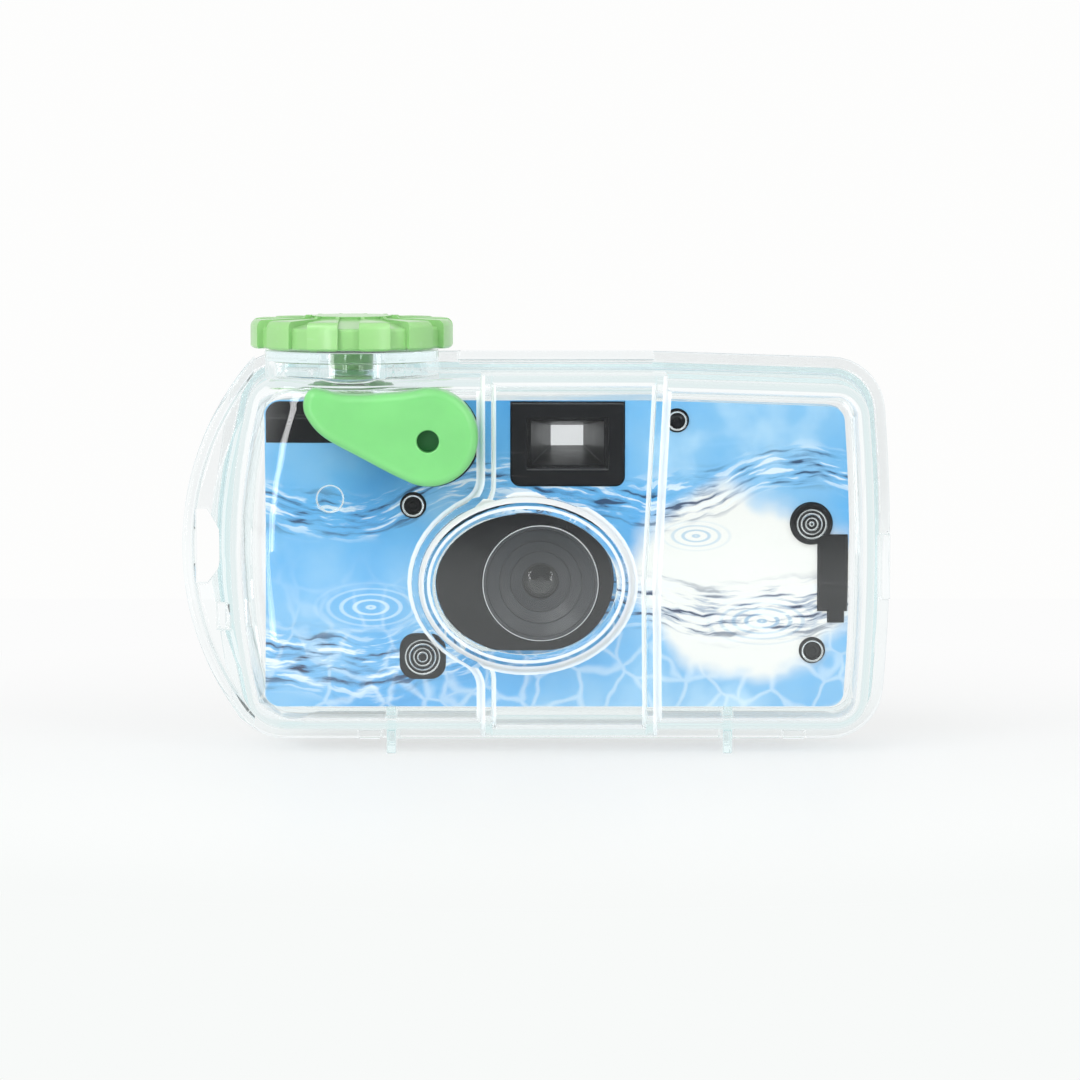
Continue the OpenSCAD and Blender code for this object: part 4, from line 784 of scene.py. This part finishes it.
    def _swell(self, sheet: Sheet, swell: Swell, under: Feed) -> bpy.types.NodeSocket:
        """Lays one swell as dark and bright streaks that run along it.

        Args:
            sheet: The graph and the places on the sheet.
            swell: Its course and width.
            under: The colour underneath.

        Returns:
            The colour with the swell on it.
        """
        graph = sheet.graph
        phase = graph.math("ADD", graph.math("DIVIDE", sheet.across, swell.length), swell.start)
        swing = graph.math("MULTIPLY", graph.math("SINE", phase), swell.height)
        line = graph.math("ADD", graph.math("MULTIPLY", sheet.across, swell.lean), swell.level)
        bend = graph.math("MULTIPLY", graph.math("SUBTRACT", sheet.cloud, 0.5), 12.0)
        course = graph.math("ADD", graph.math("ADD", line, swing), bend)
        offset = graph.math("SUBTRACT", sheet.up, course)
        inside = graph.span(graph.math("ABSOLUTE", offset), swell.width, swell.width * 0.2)
        inside = graph.math("MULTIPLY", inside, swell.strength)
        slow = graph.math("MULTIPLY", sheet.across, 0.13)
        along = graph.node("ShaderNodeCombineXYZ", {"X": slow, "Y": offset}).outputs[0]
        streak = graph.noise(along, 0.85, 4.0)
        shade = graph.math("MULTIPLY", graph.span(streak, 0.5, 0.6), inside)
        dark = graph.math("MULTIPLY", graph.span(streak, 0.58, 0.64), inside)
        bright = graph.math("MULTIPLY", graph.span(streak, 0.47, 0.39), inside)
        laid = graph.mix(graph.math("MULTIPLY", bright, 0.9), under, self.foam)
        laid = graph.mix(graph.math("MULTIPLY", shade, 0.6), laid, self.slate)
        return graph.mix(dark, laid, self.navy)


CLEAR_CASE = ClearPlastic(
    "clear_case",
    colour=(0.995, 1.0, 1.0, 1.0),
    roughness=0.015,
    index=1.5,
    tint=(0.78, 0.97, 0.98, 1.0),
    density=24.0,
    wave=0.02 * MM,
    # Painted highlight on the marked faces of the front's rounding and the port's bead.
    painted_highlight=0.7,
)
CLEAR_LENS = ClearPlastic(
    "clear_lens",
    colour=(0.99, 0.995, 1.0, 1.0),
    roughness=0.015,
    index=1.49,
    tint=(0.96, 0.98, 0.99, 1.0),
    density=10.0,
    wave=0.002 * MM,
)
SEAL = ClearPlastic(
    "seal_silicone",
    colour=(0.82, 0.95, 0.96, 1.0),
    roughness=0.22,
    index=1.41,
    tint=(0.6, 0.93, 0.95, 1.0),
    density=120.0,
    wave=0.01 * MM,
)
BLACK_RUBBER = Rubber("black_rubber", ink(24, 24, 25), ink(70, 70, 72), 0.55)
BLACK = MouldedPlastic("black_styrene", ink(24, 25, 28), 0.36, 5200.0, 0.003 * MM, gloss=0.25)
HOOD_BLACK = HoodPlastic(
    "hood_black",
    colour=ink(52, 54, 58),
    # The pale colour and the two radii are a painted highlight round the hood's rim.
    pale=ink(226, 228, 230),
    middle=(0.8 * MM, 31.7 * MM),
    highlight_ring=(10.32 * MM, 10.4 * MM),
    roughness=0.4,
)
GREY = MouldedPlastic("grey_styrene", ink(120, 121, 124), 0.5, 1400.0, 0.012 * MM)
WHITE = MouldedPlastic("white_acetal", ink(228, 227, 222), 0.4, 1200.0, 0.01 * MM)
LEVER_GREEN = MouldedPlastic(
    "lever_green", ink(124, 208, 124), 0.36, 1300.0, 0.008 * MM, coat=0.15, glow=0.15
)
KNOB_GREEN = MouldedPlastic(
    "knob_green", ink(154, 209, 135), 0.32, 1300.0, 0.008 * MM, coat=0.3, glow=0.15
)
# Painted shade: the shaft's green is darkened to stand in for the shade at the bottom of the lever's hole.
SHAFT_PAINTED_SHADE_GREEN = MouldedPlastic("shaft_painted_shade_green", ink(24, 104, 52), 0.45, 1300.0, 0.01 * MM)
LABEL = SeaPrint("sea_print")
STEEL = Metal("bright_steel", ink(205, 207, 210), 0.3, 1.0, (1.0, 1.0, 0.05))
BLACK_METAL = Metal("blackened_steel", ink(38, 38, 40), 0.55, 0.6, (0.05, 1.0, 1.0))
VELVET = Velvet("black_velvet", ink(22, 22, 24))
FILM = FilmBase("negative_film", ink(112, 84, 86), ink(78, 58, 66))


@dataclass(frozen=True)
class Rounding:
    """A wider rounding for the sharp edges in front of one depth."""

    width: float
    front_of: float


class Workshop:
    """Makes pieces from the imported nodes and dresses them."""

    def __init__(self) -> None:
        """Reads which body carries each node, and makes the shared effects."""
        bodies = frame["record"]["behaviour"]["bodies"]
        self.body_of = {node: body for body, nodes in bodies.items() for node in nodes}
        self.effects = Effects()
        self.materials: dict[str, bpy.types.Material] = {}

    def material(self, finish: Finish) -> bpy.types.Material:
        """Finds the material of a finish, which is made on its first use.

        Args:
            finish: The finish.

        Returns:
            The material.
        """
        if finish.name not in self.materials:
            self.materials[finish.name] = finish.make(self.effects)
        return self.materials[finish.name]

    def dress(self, finish: Finish, *nodes: str) -> None:
        """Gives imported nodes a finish.

        Args:
            finish: The finish.
            *nodes: The nodes' names.
        """
        for node in nodes:
            made = frame["nodes"][node]
            made.data.materials.clear()
            made.data.materials.append(self.material(finish))
            LOG.info("dressed %s in %s", node, finish.name)

    def soften(
        self,
        node: str,
        finish: Finish,
        edge: float,
        ease: float = 0.0,
        broad: Optional[Rounding] = None,
    ) -> bpy.types.Object:
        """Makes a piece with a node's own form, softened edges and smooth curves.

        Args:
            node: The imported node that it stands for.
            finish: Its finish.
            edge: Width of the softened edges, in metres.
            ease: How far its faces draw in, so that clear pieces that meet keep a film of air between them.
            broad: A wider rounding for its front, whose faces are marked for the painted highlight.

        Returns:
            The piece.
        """
        source = frame["nodes"][node].data
        work = bmesh.new()
        points = [work.verts.new(vertex.co) for vertex in source.vertices]
        for polygon in source.polygons:
            work.faces.new([points[index] for index in polygon.vertices])
        bmesh.ops.remove_doubles(work, verts=work.verts, dist=WELD)
        bmesh.ops.dissolve_degenerate(work, dist=WELD, edges=work.edges)
        bmesh.ops.dissolve_limit(work, angle_limit=FLAT_FOLD, verts=work.verts, edges=work.edges)
        work.normal_update()
        for point in work.verts:
            point.co -= point.normal * ease
        if broad:
            work.faces.layers.float.new(PAINTED_HIGHLIGHT)
            work = self._round_off(work, broad.width, broad.front_of)
        work = self._round_off(work, edge)
        for face in work.faces:
            face.smooth = True
        for fold in work.edges:
            fold.smooth = fold.calc_face_angle(0.0) < SHARP_FOLD
        mesh = bpy.data.meshes.new(f"{node}_piece")
        work.to_mesh(mesh)
        work.free()
        piece = self._seat(node, mesh, finish)
        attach(piece, self.body_of[node])
        even = piece.modifiers.new("even_shading", "WEIGHTED_NORMAL")
        even.keep_sharp = True
        return piece

    def twin(self, node: str, finish: Finish) -> bpy.types.Object:
        """Makes a piece with exactly a node's own form, for the caller to give its motion.

        Args:
            node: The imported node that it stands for.
            finish: Its finish.

        Returns:
            The piece.
        """
        mesh = frame["nodes"][node].data.copy()
        mesh.materials.clear()
        return self._seat(node, mesh, finish)

    def _seat(self, node: str, mesh: bpy.types.Mesh, finish: Finish) -> bpy.types.Object:
        """Puts a mesh in the scene as the piece that stands for a node.

        Args:
            node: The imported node.
            mesh: The piece's mesh.
            finish: Its finish.

        Returns:
            The piece.
        """
        piece = bpy.data.objects.new(f"{node}_piece", mesh)
        bpy.context.scene.collection.objects.link(piece)
        mesh.materials.append(self.material(finish))
        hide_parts(node)
        LOG.info("made %s in %s", piece.name, finish.name)
        return piece

    def _round_off(
        self, work: bmesh.types.BMesh, width: float, front_of: float = math.inf
    ) -> bmesh.types.BMesh:
        """Rounds the sharp edges that have room for it, leaving out those where the result folds over.

        Args:
            work: The form, which is used up.
            width: Width of the rounding, in metres.
            front_of: Only edges in front of this depth are rounded, and where one is given, the new faces
            are marked for the painted highlight.

        Returns:
            The rounded form.
        """
        folds = [fold for fold in work.edges if fold.calc_face_angle(0.0) > SHARP_FOLD]
        near = [fold for fold in folds if all(point.co.y < front_of for point in fold.verts)]
        tree = self._trail(folds, width)
        roomy = [fold for fold in near if all(self._has_room(side, tree, width) for side in fold.link_loops)]
        before = BVHTree.FromBMesh(work)
        for _ in range(ROUND_TRIES):
            work.edges.index_update()
            trial = work.copy()
            trial.edges.ensure_lookup_table()
            made = bmesh.ops.bevel(
                trial,
                geom=[trial.edges[fold.index] for fold in roomy],
                offset=width,
                offset_type="OFFSET",
                segments=ROUND_STEPS,
                profile=0.5,
                affect="EDGES",
            )
            faults = self._faults(trial, before, width)
            if not faults:
                work.free()
                if front_of < math.inf:
                    painted_highlight = trial.faces.layers.float[PAINTED_HIGHLIGHT]
                    for face in made["faces"]:
                        face[painted_highlight] = 1.0
                LOG.info("rounded %d of %d sharp edges", len(roomy), len(near))
                return trial
            trial.free()
            spots = self._balanced(faults)
            roomy = [fold for fold in roomy if not self._is_near(fold, spots, width)]
        LOG.info("left %d sharp edges as they are", len(near))
        return work

    def _trail(self, folds: Sequence[bmesh.types.BMEdge], width: float) -> KDTree:
        """Lays points along sharp edges, about half a rounding apart.

        Args:
            folds: The edges.
            width: Width of the rounding, in metres.

        Returns:
            A search tree of the points.
        """
        points = []
        for fold in folds:
            first, last = (point.co for point in fold.verts)
            count = max(2, math.ceil(2 * fold.calc_length() / width))
            points.extend(first.lerp(last, (step + 0.5) / count) for step in range(count))
        return self._balanced(points)

    @staticmethod
    def _balanced(points: Sequence[Vector]) -> KDTree:
        """Makes a search tree.

        Args:
            points: The points in it.

        Returns:
            The tree.
        """
        tree = KDTree(len(points))
        for index, point in enumerate(points):
            tree.insert(point, index)
        tree.balance()
        return tree

    @staticmethod
    def _faults(trial: bmesh.types.BMesh, before: BVHTree, width: float) -> list[Vector]:
        """Finds where a rounded form turns inside out or leaves the form that it came from.

        Args:
            trial: The rounded form.
            before: The form before.
            width: Width of the rounding, in metres.

        Returns:
            The corners of the wrong triangles.
        """
        found = []
        for loops in trial.calc_loop_triangles():
            first, second, third = (loop.vert.co for loop in loops)
            facing = (second - first).cross(third - first)
            if facing.length < 2 * LEAST_AREA:
                continue
            _, normal, _, gap = before.find_nearest((first + second + third) / 3)
            if gap > 0.5 * width or normal.dot(facing.normalized()) < -0.5:
                found.extend((first.copy(), second.copy(), third.copy()))
        return found

    @staticmethod
    def _is_near(fold: bmesh.types.BMEdge, spots: KDTree, width: float) -> bool:
        """Tells whether an edge comes within two roundings of a fault.

        Args:
            fold: The edge.
            spots: The faults.
            width: Width of the rounding, in metres.

        Returns:
            True if it does.
        """
        first, last = (point.co for point in fold.verts)
        count = max(1, math.ceil(fold.calc_length() / width))
        places = (first.lerp(last, step / count) for step in range(count + 1))
        return any(spots.find(place)[2] < 2 * width for place in places)

    @staticmethod
    def _has_room(side: bmesh.types.BMLoop, tree: KDTree, width: float) -> bool:
        """Tells whether the face on one side of an edge reaches far enough without another sharp edge.

        Args:
            side: The edge as the face holds it.
            tree: Points along all sharp edges.
            width: Width of the rounding, in metres.

        Returns:
            True if the rounding fits.
        """
        first, last = side.vert.co, side.link_loop_next.vert.co
        inward = side.face.normal.cross(last - first).normalized()
        spots = (0.2, 0.5, 0.8) if (last - first).length > 6 * width else (0.5,)
        for spot in spots:
            for reach in (0.5, 1.1, 1.7):
                probe = first.lerp(last, spot) + inward * width * reach
                if tree.find(probe)[2] < 0.45 * width:
                    return False
        return True


@dataclass
class ClearCase:
    """The two clear shells, the seal between them and the washer under the knob."""

    edge: float = 0.28 * MM
    face: Rounding = Rounding(0.8 * MM, -14.5 * MM)
    air: float = 0.02 * MM
    seal_edge: float = 0.1 * MM
    port_middle: Pair = (-1.8 * MM, 31.9 * MM)
    port_half: Pair = (19.4 * MM, 15.8 * MM)
    bead_from: float = -18.6 * MM
    highlight_bands: tuple[Pair, ...] = ((-0.2 * MM, 1.0 * MM), (1.5 * MM, 2.2 * MM))

    def build(self, shop: Workshop) -> None:
        """Makes the shells and their seals.

        Args:
            shop: What makes and dresses the pieces.
        """
        # The front's broad rounding and two bands of the port's bead get the painted highlight.
        front = shop.soften("front_shell", CLEAR_CASE, self.edge, self.air, self.face)
        self._paint_bead_highlight(front.data)
        shop.soften("rear_shell", CLEAR_CASE, self.edge, self.air)
        shop.soften("seal_ring", SEAL, self.seal_edge, self.air)
        shop.soften("knob_washer", BLACK_RUBBER, self.seal_edge)

    def _paint_bead_highlight(self, mesh: bpy.types.Mesh) -> None:
        """Marks two bands of the bead round the lens port for the painted highlight.

        Args:
            mesh: The front shell's mesh.
        """
        marks = mesh.attributes[PAINTED_HIGHLIGHT].data
        for polygon in mesh.polygons:
            east = polygon.center.x - self.port_middle[0]
            north = polygon.center.z - self.port_middle[1]
            share = math.hypot(east / self.port_half[0], north / self.port_half[1])
            inside = math.hypot(east, north) * (1 / share - 1)
            if polygon.center.y < self.bead_from and any(a < inside < b for a, b in self.highlight_bands):
                marks[polygon.index].value = 1.0


@dataclass
class InnerCamera:
    """The black camera inside the case, with its printed label and its lenses."""

    edge: float = 0.25 * MM
    fine_edge: float = 0.12 * MM

    def build(self, shop: Workshop) -> None:
        """Makes the covers, the label and the optics.

        Args:
            shop: What makes and dresses the pieces.
        """
        for node in ("front_cover", "back_cover", "film_door"):
            shop.soften(node, BLACK, self.edge)
        shop.soften("viewfinder_frame", BLACK, self.fine_edge)
        shop.soften("lens_hood", HOOD_BLACK, self.fine_edge)
        shop.soften("lens_retainer", BLACK, self.fine_edge)
        shop.dress(LABEL, "front_label")
        shop.dress(CLEAR_LENS, "viewfinder_objective", "viewfinder_eyepiece", "taking_lens", "counter_lens")
        shop.dress(BLACK, "chassis")
        shop.dress(BLACK_METAL, "aperture_plate")


@dataclass
class AdvanceKnob:
    """The green knob on the case and the shaft that turns the film."""

    knob_edge: float = 0.6 * MM
    shaft_edge: float = 0.15 * MM

    def build(self, shop: Workshop) -> None:
        """Makes the knob and its shaft, and dresses what hangs on them.

        Args:
            shop: What makes and dresses the pieces.
        """
        shop.soften("advance_knob", KNOB_GREEN, self.knob_edge)
        shop.soften("knob_shaft", KNOB_GREEN, self.shaft_edge)
        shop.dress(SEAL, "knob_o_ring")
        shop.dress(STEEL, "knob_clip")
        shop.dress(WHITE, "advance_wheel")


@dataclass
class ShutterLever:
    """The green lever on the case, its shaft and the parts that it presses."""

    edge: float = 0.3 * MM
    press: float = 1.7 * MM

    def build(self, shop: Workshop) -> None:
        """Makes the lever and the two springs of its train, and dresses the rest.

        Args:
            shop: What makes and dresses the pieces.
        """
        shop.soften("shutter_lever", LEVER_GREEN, self.edge)
        self._tab_spring(shop)
        self._blade_spring(shop)
        # The shaft's dark green is painted shade for the lever's hole.
        shop.dress(SHAFT_PAINTED_SHADE_GREEN, "lever_shaft")
        shop.dress(BLACK_RUBBER, "lever_o_ring")
        shop.dress(GREY, "lever_crank")
        shop.dress(WHITE, "release_tab")
        shop.dress(BLACK_METAL, "shutter_blade")

    def _tab_spring(self, shop: Workshop) -> None:
        """Makes the spring under the release tab, on the housing with a mesh of its own; the piece does not
        shorten as the tab comes down.

        Args:
            shop: What makes and dresses the pieces.
        """
        piece = shop.twin("release_spring", STEEL)
        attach(piece, "housing")
        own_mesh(piece)

    def _blade_spring(self, shop: Workshop) -> None:
        """Makes the blade's spring, fixed at its upper end and drawn out by the blade at its lower one.

        Args:
            shop: What makes and dresses the pieces.
        """
        piece = shop.twin("blade_spring", STEEL)
        low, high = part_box("blade_spring")
        middle = (low + high) / 2
        top, foot = (middle.x, middle.y, high.z), (middle.x, middle.y, low.z)
        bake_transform(piece, "housing", "shutter", start=top, end=foot)


@dataclass
class FilmDrive:
    """The film, its can and the wheels that carry and count it."""

    plain_parts: tuple[str, ...] = ("can_spool", "film_can_caps", "supply_spool")
    film_parts: tuple[str, ...] = ("film_strip", "film_on_core", "film_roll")

    def build(self, shop: Workshop) -> None:
        """Dresses the film and the parts that hold it.

        Args:
            shop: What makes and dresses the pieces.
        """
        shop.dress(BLACK, *self.plain_parts)
        shop.dress(FILM, *self.film_parts)
        shop.dress(STEEL, "film_can")
        shop.dress(VELVET, "light_trap")
        shop.dress(WHITE, "sprocket", "counter_dial")


@dataclass
class Lamp:
    """One soft lamp of the studio."""

    name: str
    place: Triple
    aim: Triple
    size: Pair
    power: float


@dataclass
class Studio:
    """A white table and backdrop, soft lamps and the camera."""

    eye: Triple = (0.0007, -1.0, 0.1223)
    target: Triple = (0.0007, 0.0, 0.0383)
    focal: float = 182.3
    lamps: tuple[Lamp, ...] = (
        Lamp("key_lamp", (-0.5, -0.7, 1.0), (0.0, 0.0, 0.04), (0.9, 0.6), 6.0),
        Lamp("fill_lamp", (0.8, -0.6, 0.7), (0.0, 0.0, 0.04), (0.6, 0.8), 2.4),
        Lamp("left_strip", (-0.14, -0.23, 0.11), (0.0, 0.0, 0.07), (0.034, 0.19), 0.13),
        Lamp("right_strip", (0.14, -0.23, 0.11), (0.0, 0.0, 0.07), (0.034, 0.19), 0.1),
        Lamp("table_strip", (-0.19, -0.245, 0.008), (-0.172, -0.216, 1.0), (0.018, 0.34), 0.1),
    )
    floor_half: float = 3.0
    floor_front: float = 0.62
    floor_back: float = 0.29
    shadow_fade: Pair = (0.07, 0.2)
    front_fade: Pair = (-0.34, -0.6)
    near_glow: float = 0.65
    room: tuple[Pair, ...] = (
        (0.0, 0.08), (0.04, 0.14), (0.14, 0.56), (0.26, 0.95), (0.4, 1.0)
    )
    shade: Colour = (0.14, 0.14, 0.14, 1.0)
    plain: Colour = (0.62, 0.62, 0.62, 1.0)
    backdrop: Colour = (0.985, 0.985, 0.98, 1.0)

    def build(self) -> None:
        """Makes the floor, the surroundings, the lamps and the camera."""
        self._floor()
        self._surroundings()
        for lamp in self.lamps:
            self._lamp(lamp)
        self._camera()

    def _floor(self) -> None:
        """Lays a pale table that keeps the object's shadow."""
        half, near, far = self.floor_half, -self.floor_front, self.floor_back
        mesh = bpy.data.meshes.new("table")
        rim = [(-half, near, 0.0), (half, near, 0.0), (half, far, 0.0), (-half, far, 0.0)]
        mesh.from_pydata(rim, [], [(0, 1, 2, 3)])
        mesh.materials.append(self._paint())
        table = bpy.data.objects.new("table", mesh)
        bpy.context.scene.collection.objects.link(table)

    def _paint(self) -> bpy.types.Material:
        """Makes the table's paint, which is white to the eye and has a dim front in reflections.

        Returns:
            The material.
        """
        material = bpy.data.materials.new("white_table")
        material.use_nodes = True
        graph = Graph(material.node_tree)
        output = graph.node("ShaderNodeOutputMaterial")
        place = graph.place()
        cloud = graph.noise(place, 3.0, 2.0)
        paint = graph.mix(cloud, (0.9, 0.915, 0.915, 1.0), (0.925, 0.935, 0.93, 1.0))
        board = graph.node("ShaderNodeBsdfPrincipled", {"Base Color": paint, "Roughness": 0.45})
        ray = graph.node("ShaderNodeLightPath").outputs
        depth = graph.node("ShaderNodeSeparateXYZ", {"Vector": place}).outputs["Y"]
        white = graph.mix(graph.span(depth, -0.15, 0.15), ink(248, 250, 249), ink(252, 252, 252))
        unseen = graph.math("SUBTRACT", 1.0, ray["Is Camera Ray"])
        dim = graph.math("MULTIPLY", graph.span(depth, *self.front_fade), unseen)
        white = graph.mix(dim, white, self.shade)
        glow = graph.node("ShaderNodeEmission", {"Color": white, "Strength": 1.0})
        away = graph.node("ShaderNodeVectorMath", {0: place}, operation="LENGTH").outputs["Value"]
        far = graph.span(away, *self.shadow_fade)
        lift = graph.math("ADD", graph.math("MULTIPLY", far, 1 - self.near_glow), self.near_glow)
        seen = graph.math("ADD", ray["Is Camera Ray"], ray["Is Glossy Ray"])
        seen = graph.math("ADD", seen, ray["Is Transmission Ray"])
        share = graph.math("MULTIPLY", graph.math("MINIMUM", seen, 1.0), lift)
        inputs = {0: share, 1: board.outputs[0], 2: glow.outputs[0]}
        graph.feed(output.inputs["Surface"], graph.node("ShaderNodeMixShader", inputs).outputs[0])
        return material

    def _surroundings(self) -> None:
        """Makes white surroundings, dim only where the picture's camera stands, and an even light."""
        world = bpy.data.worlds.new("studio")
        bpy.context.scene.world = world
        world.use_nodes = True
        graph = Graph(world.node_tree)
        output = graph.node("ShaderNodeOutputWorld")
        way = graph.node("ShaderNodeTexCoord").outputs["Generated"]
        depth = graph.node("ShaderNodeSeparateXYZ", {"Vector": way}).outputs["Y"]
        share = graph.math("MULTIPLY", graph.math("ADD", depth, 1.0), 0.5)
        room = graph.ramp(share, [(at, (level, level, level, 1.0)) for at, level in self.room])
        ray = graph.node("ShaderNodeLightPath")
        mirrored = graph.math("ADD", ray.outputs["Is Glossy Ray"], ray.outputs["Is Transmission Ray"])
        light = graph.mix(graph.math("MINIMUM", mirrored, 1.0), self.plain, room)
        light = graph.mix(ray.outputs["Is Camera Ray"], light, self.backdrop)
        back = graph.node("ShaderNodeBackground", {"Color": light, "Strength": 1.0})
        graph.feed(output.inputs["Surface"], back.outputs[0])

    def _lamp(self, lamp: Lamp) -> None:
        """Hangs a soft lamp.

        Args:
            lamp: Its place, aim, size and power.
        """
        light = bpy.data.lights.new(lamp.name, "AREA")
        light.shape = "RECTANGLE"
        light.size, light.size_y = lamp.size
        light.energy = lamp.power
        made = bpy.data.objects.new(lamp.name, light)
        self._point(made, lamp.place, lamp.aim)

    def _camera(self) -> None:
        """Sets the camera at the picture's angle."""
        lens = bpy.data.cameras.new("picture_camera")
        lens.lens = self.focal
        lens.sensor_width = 36.0
        lens.clip_start = 0.01
        lens.clip_end = 50.0
        made = bpy.data.objects.new("picture_camera", lens)
        self._point(made, self.eye, self.target)
        bpy.context.scene.camera = made

    @staticmethod
    def _point(made: bpy.types.Object, place: Sequence[float], aim: Sequence[float]) -> None:
        """Puts an object in place and turns it to its aim.

        Args:
            made: The lamp or camera.
            place: Where it stands.
            aim: What it looks at.
        """
        bpy.context.scene.collection.objects.link(made)
        made.location = place
        made.rotation_euler = (Vector(aim) - Vector(place)).to_track_quat("-Z", "Y").to_euler()


def main() -> None:
    """Builds the studio and each sub-assembly."""
    logging.basicConfig(level=logging.INFO)
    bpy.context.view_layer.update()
    Studio().build()
    shop = Workshop()
    for assembly in (ClearCase(), InnerCamera(), AdvanceKnob(), ShutterLever(), FilmDrive()):
        assembly.build(shop)
        LOG.info("built %s", type(assembly).__name__)
    bpy.context.scene.view_settings.view_transform = "Standard"


if __name__ == "__main__":
    main()
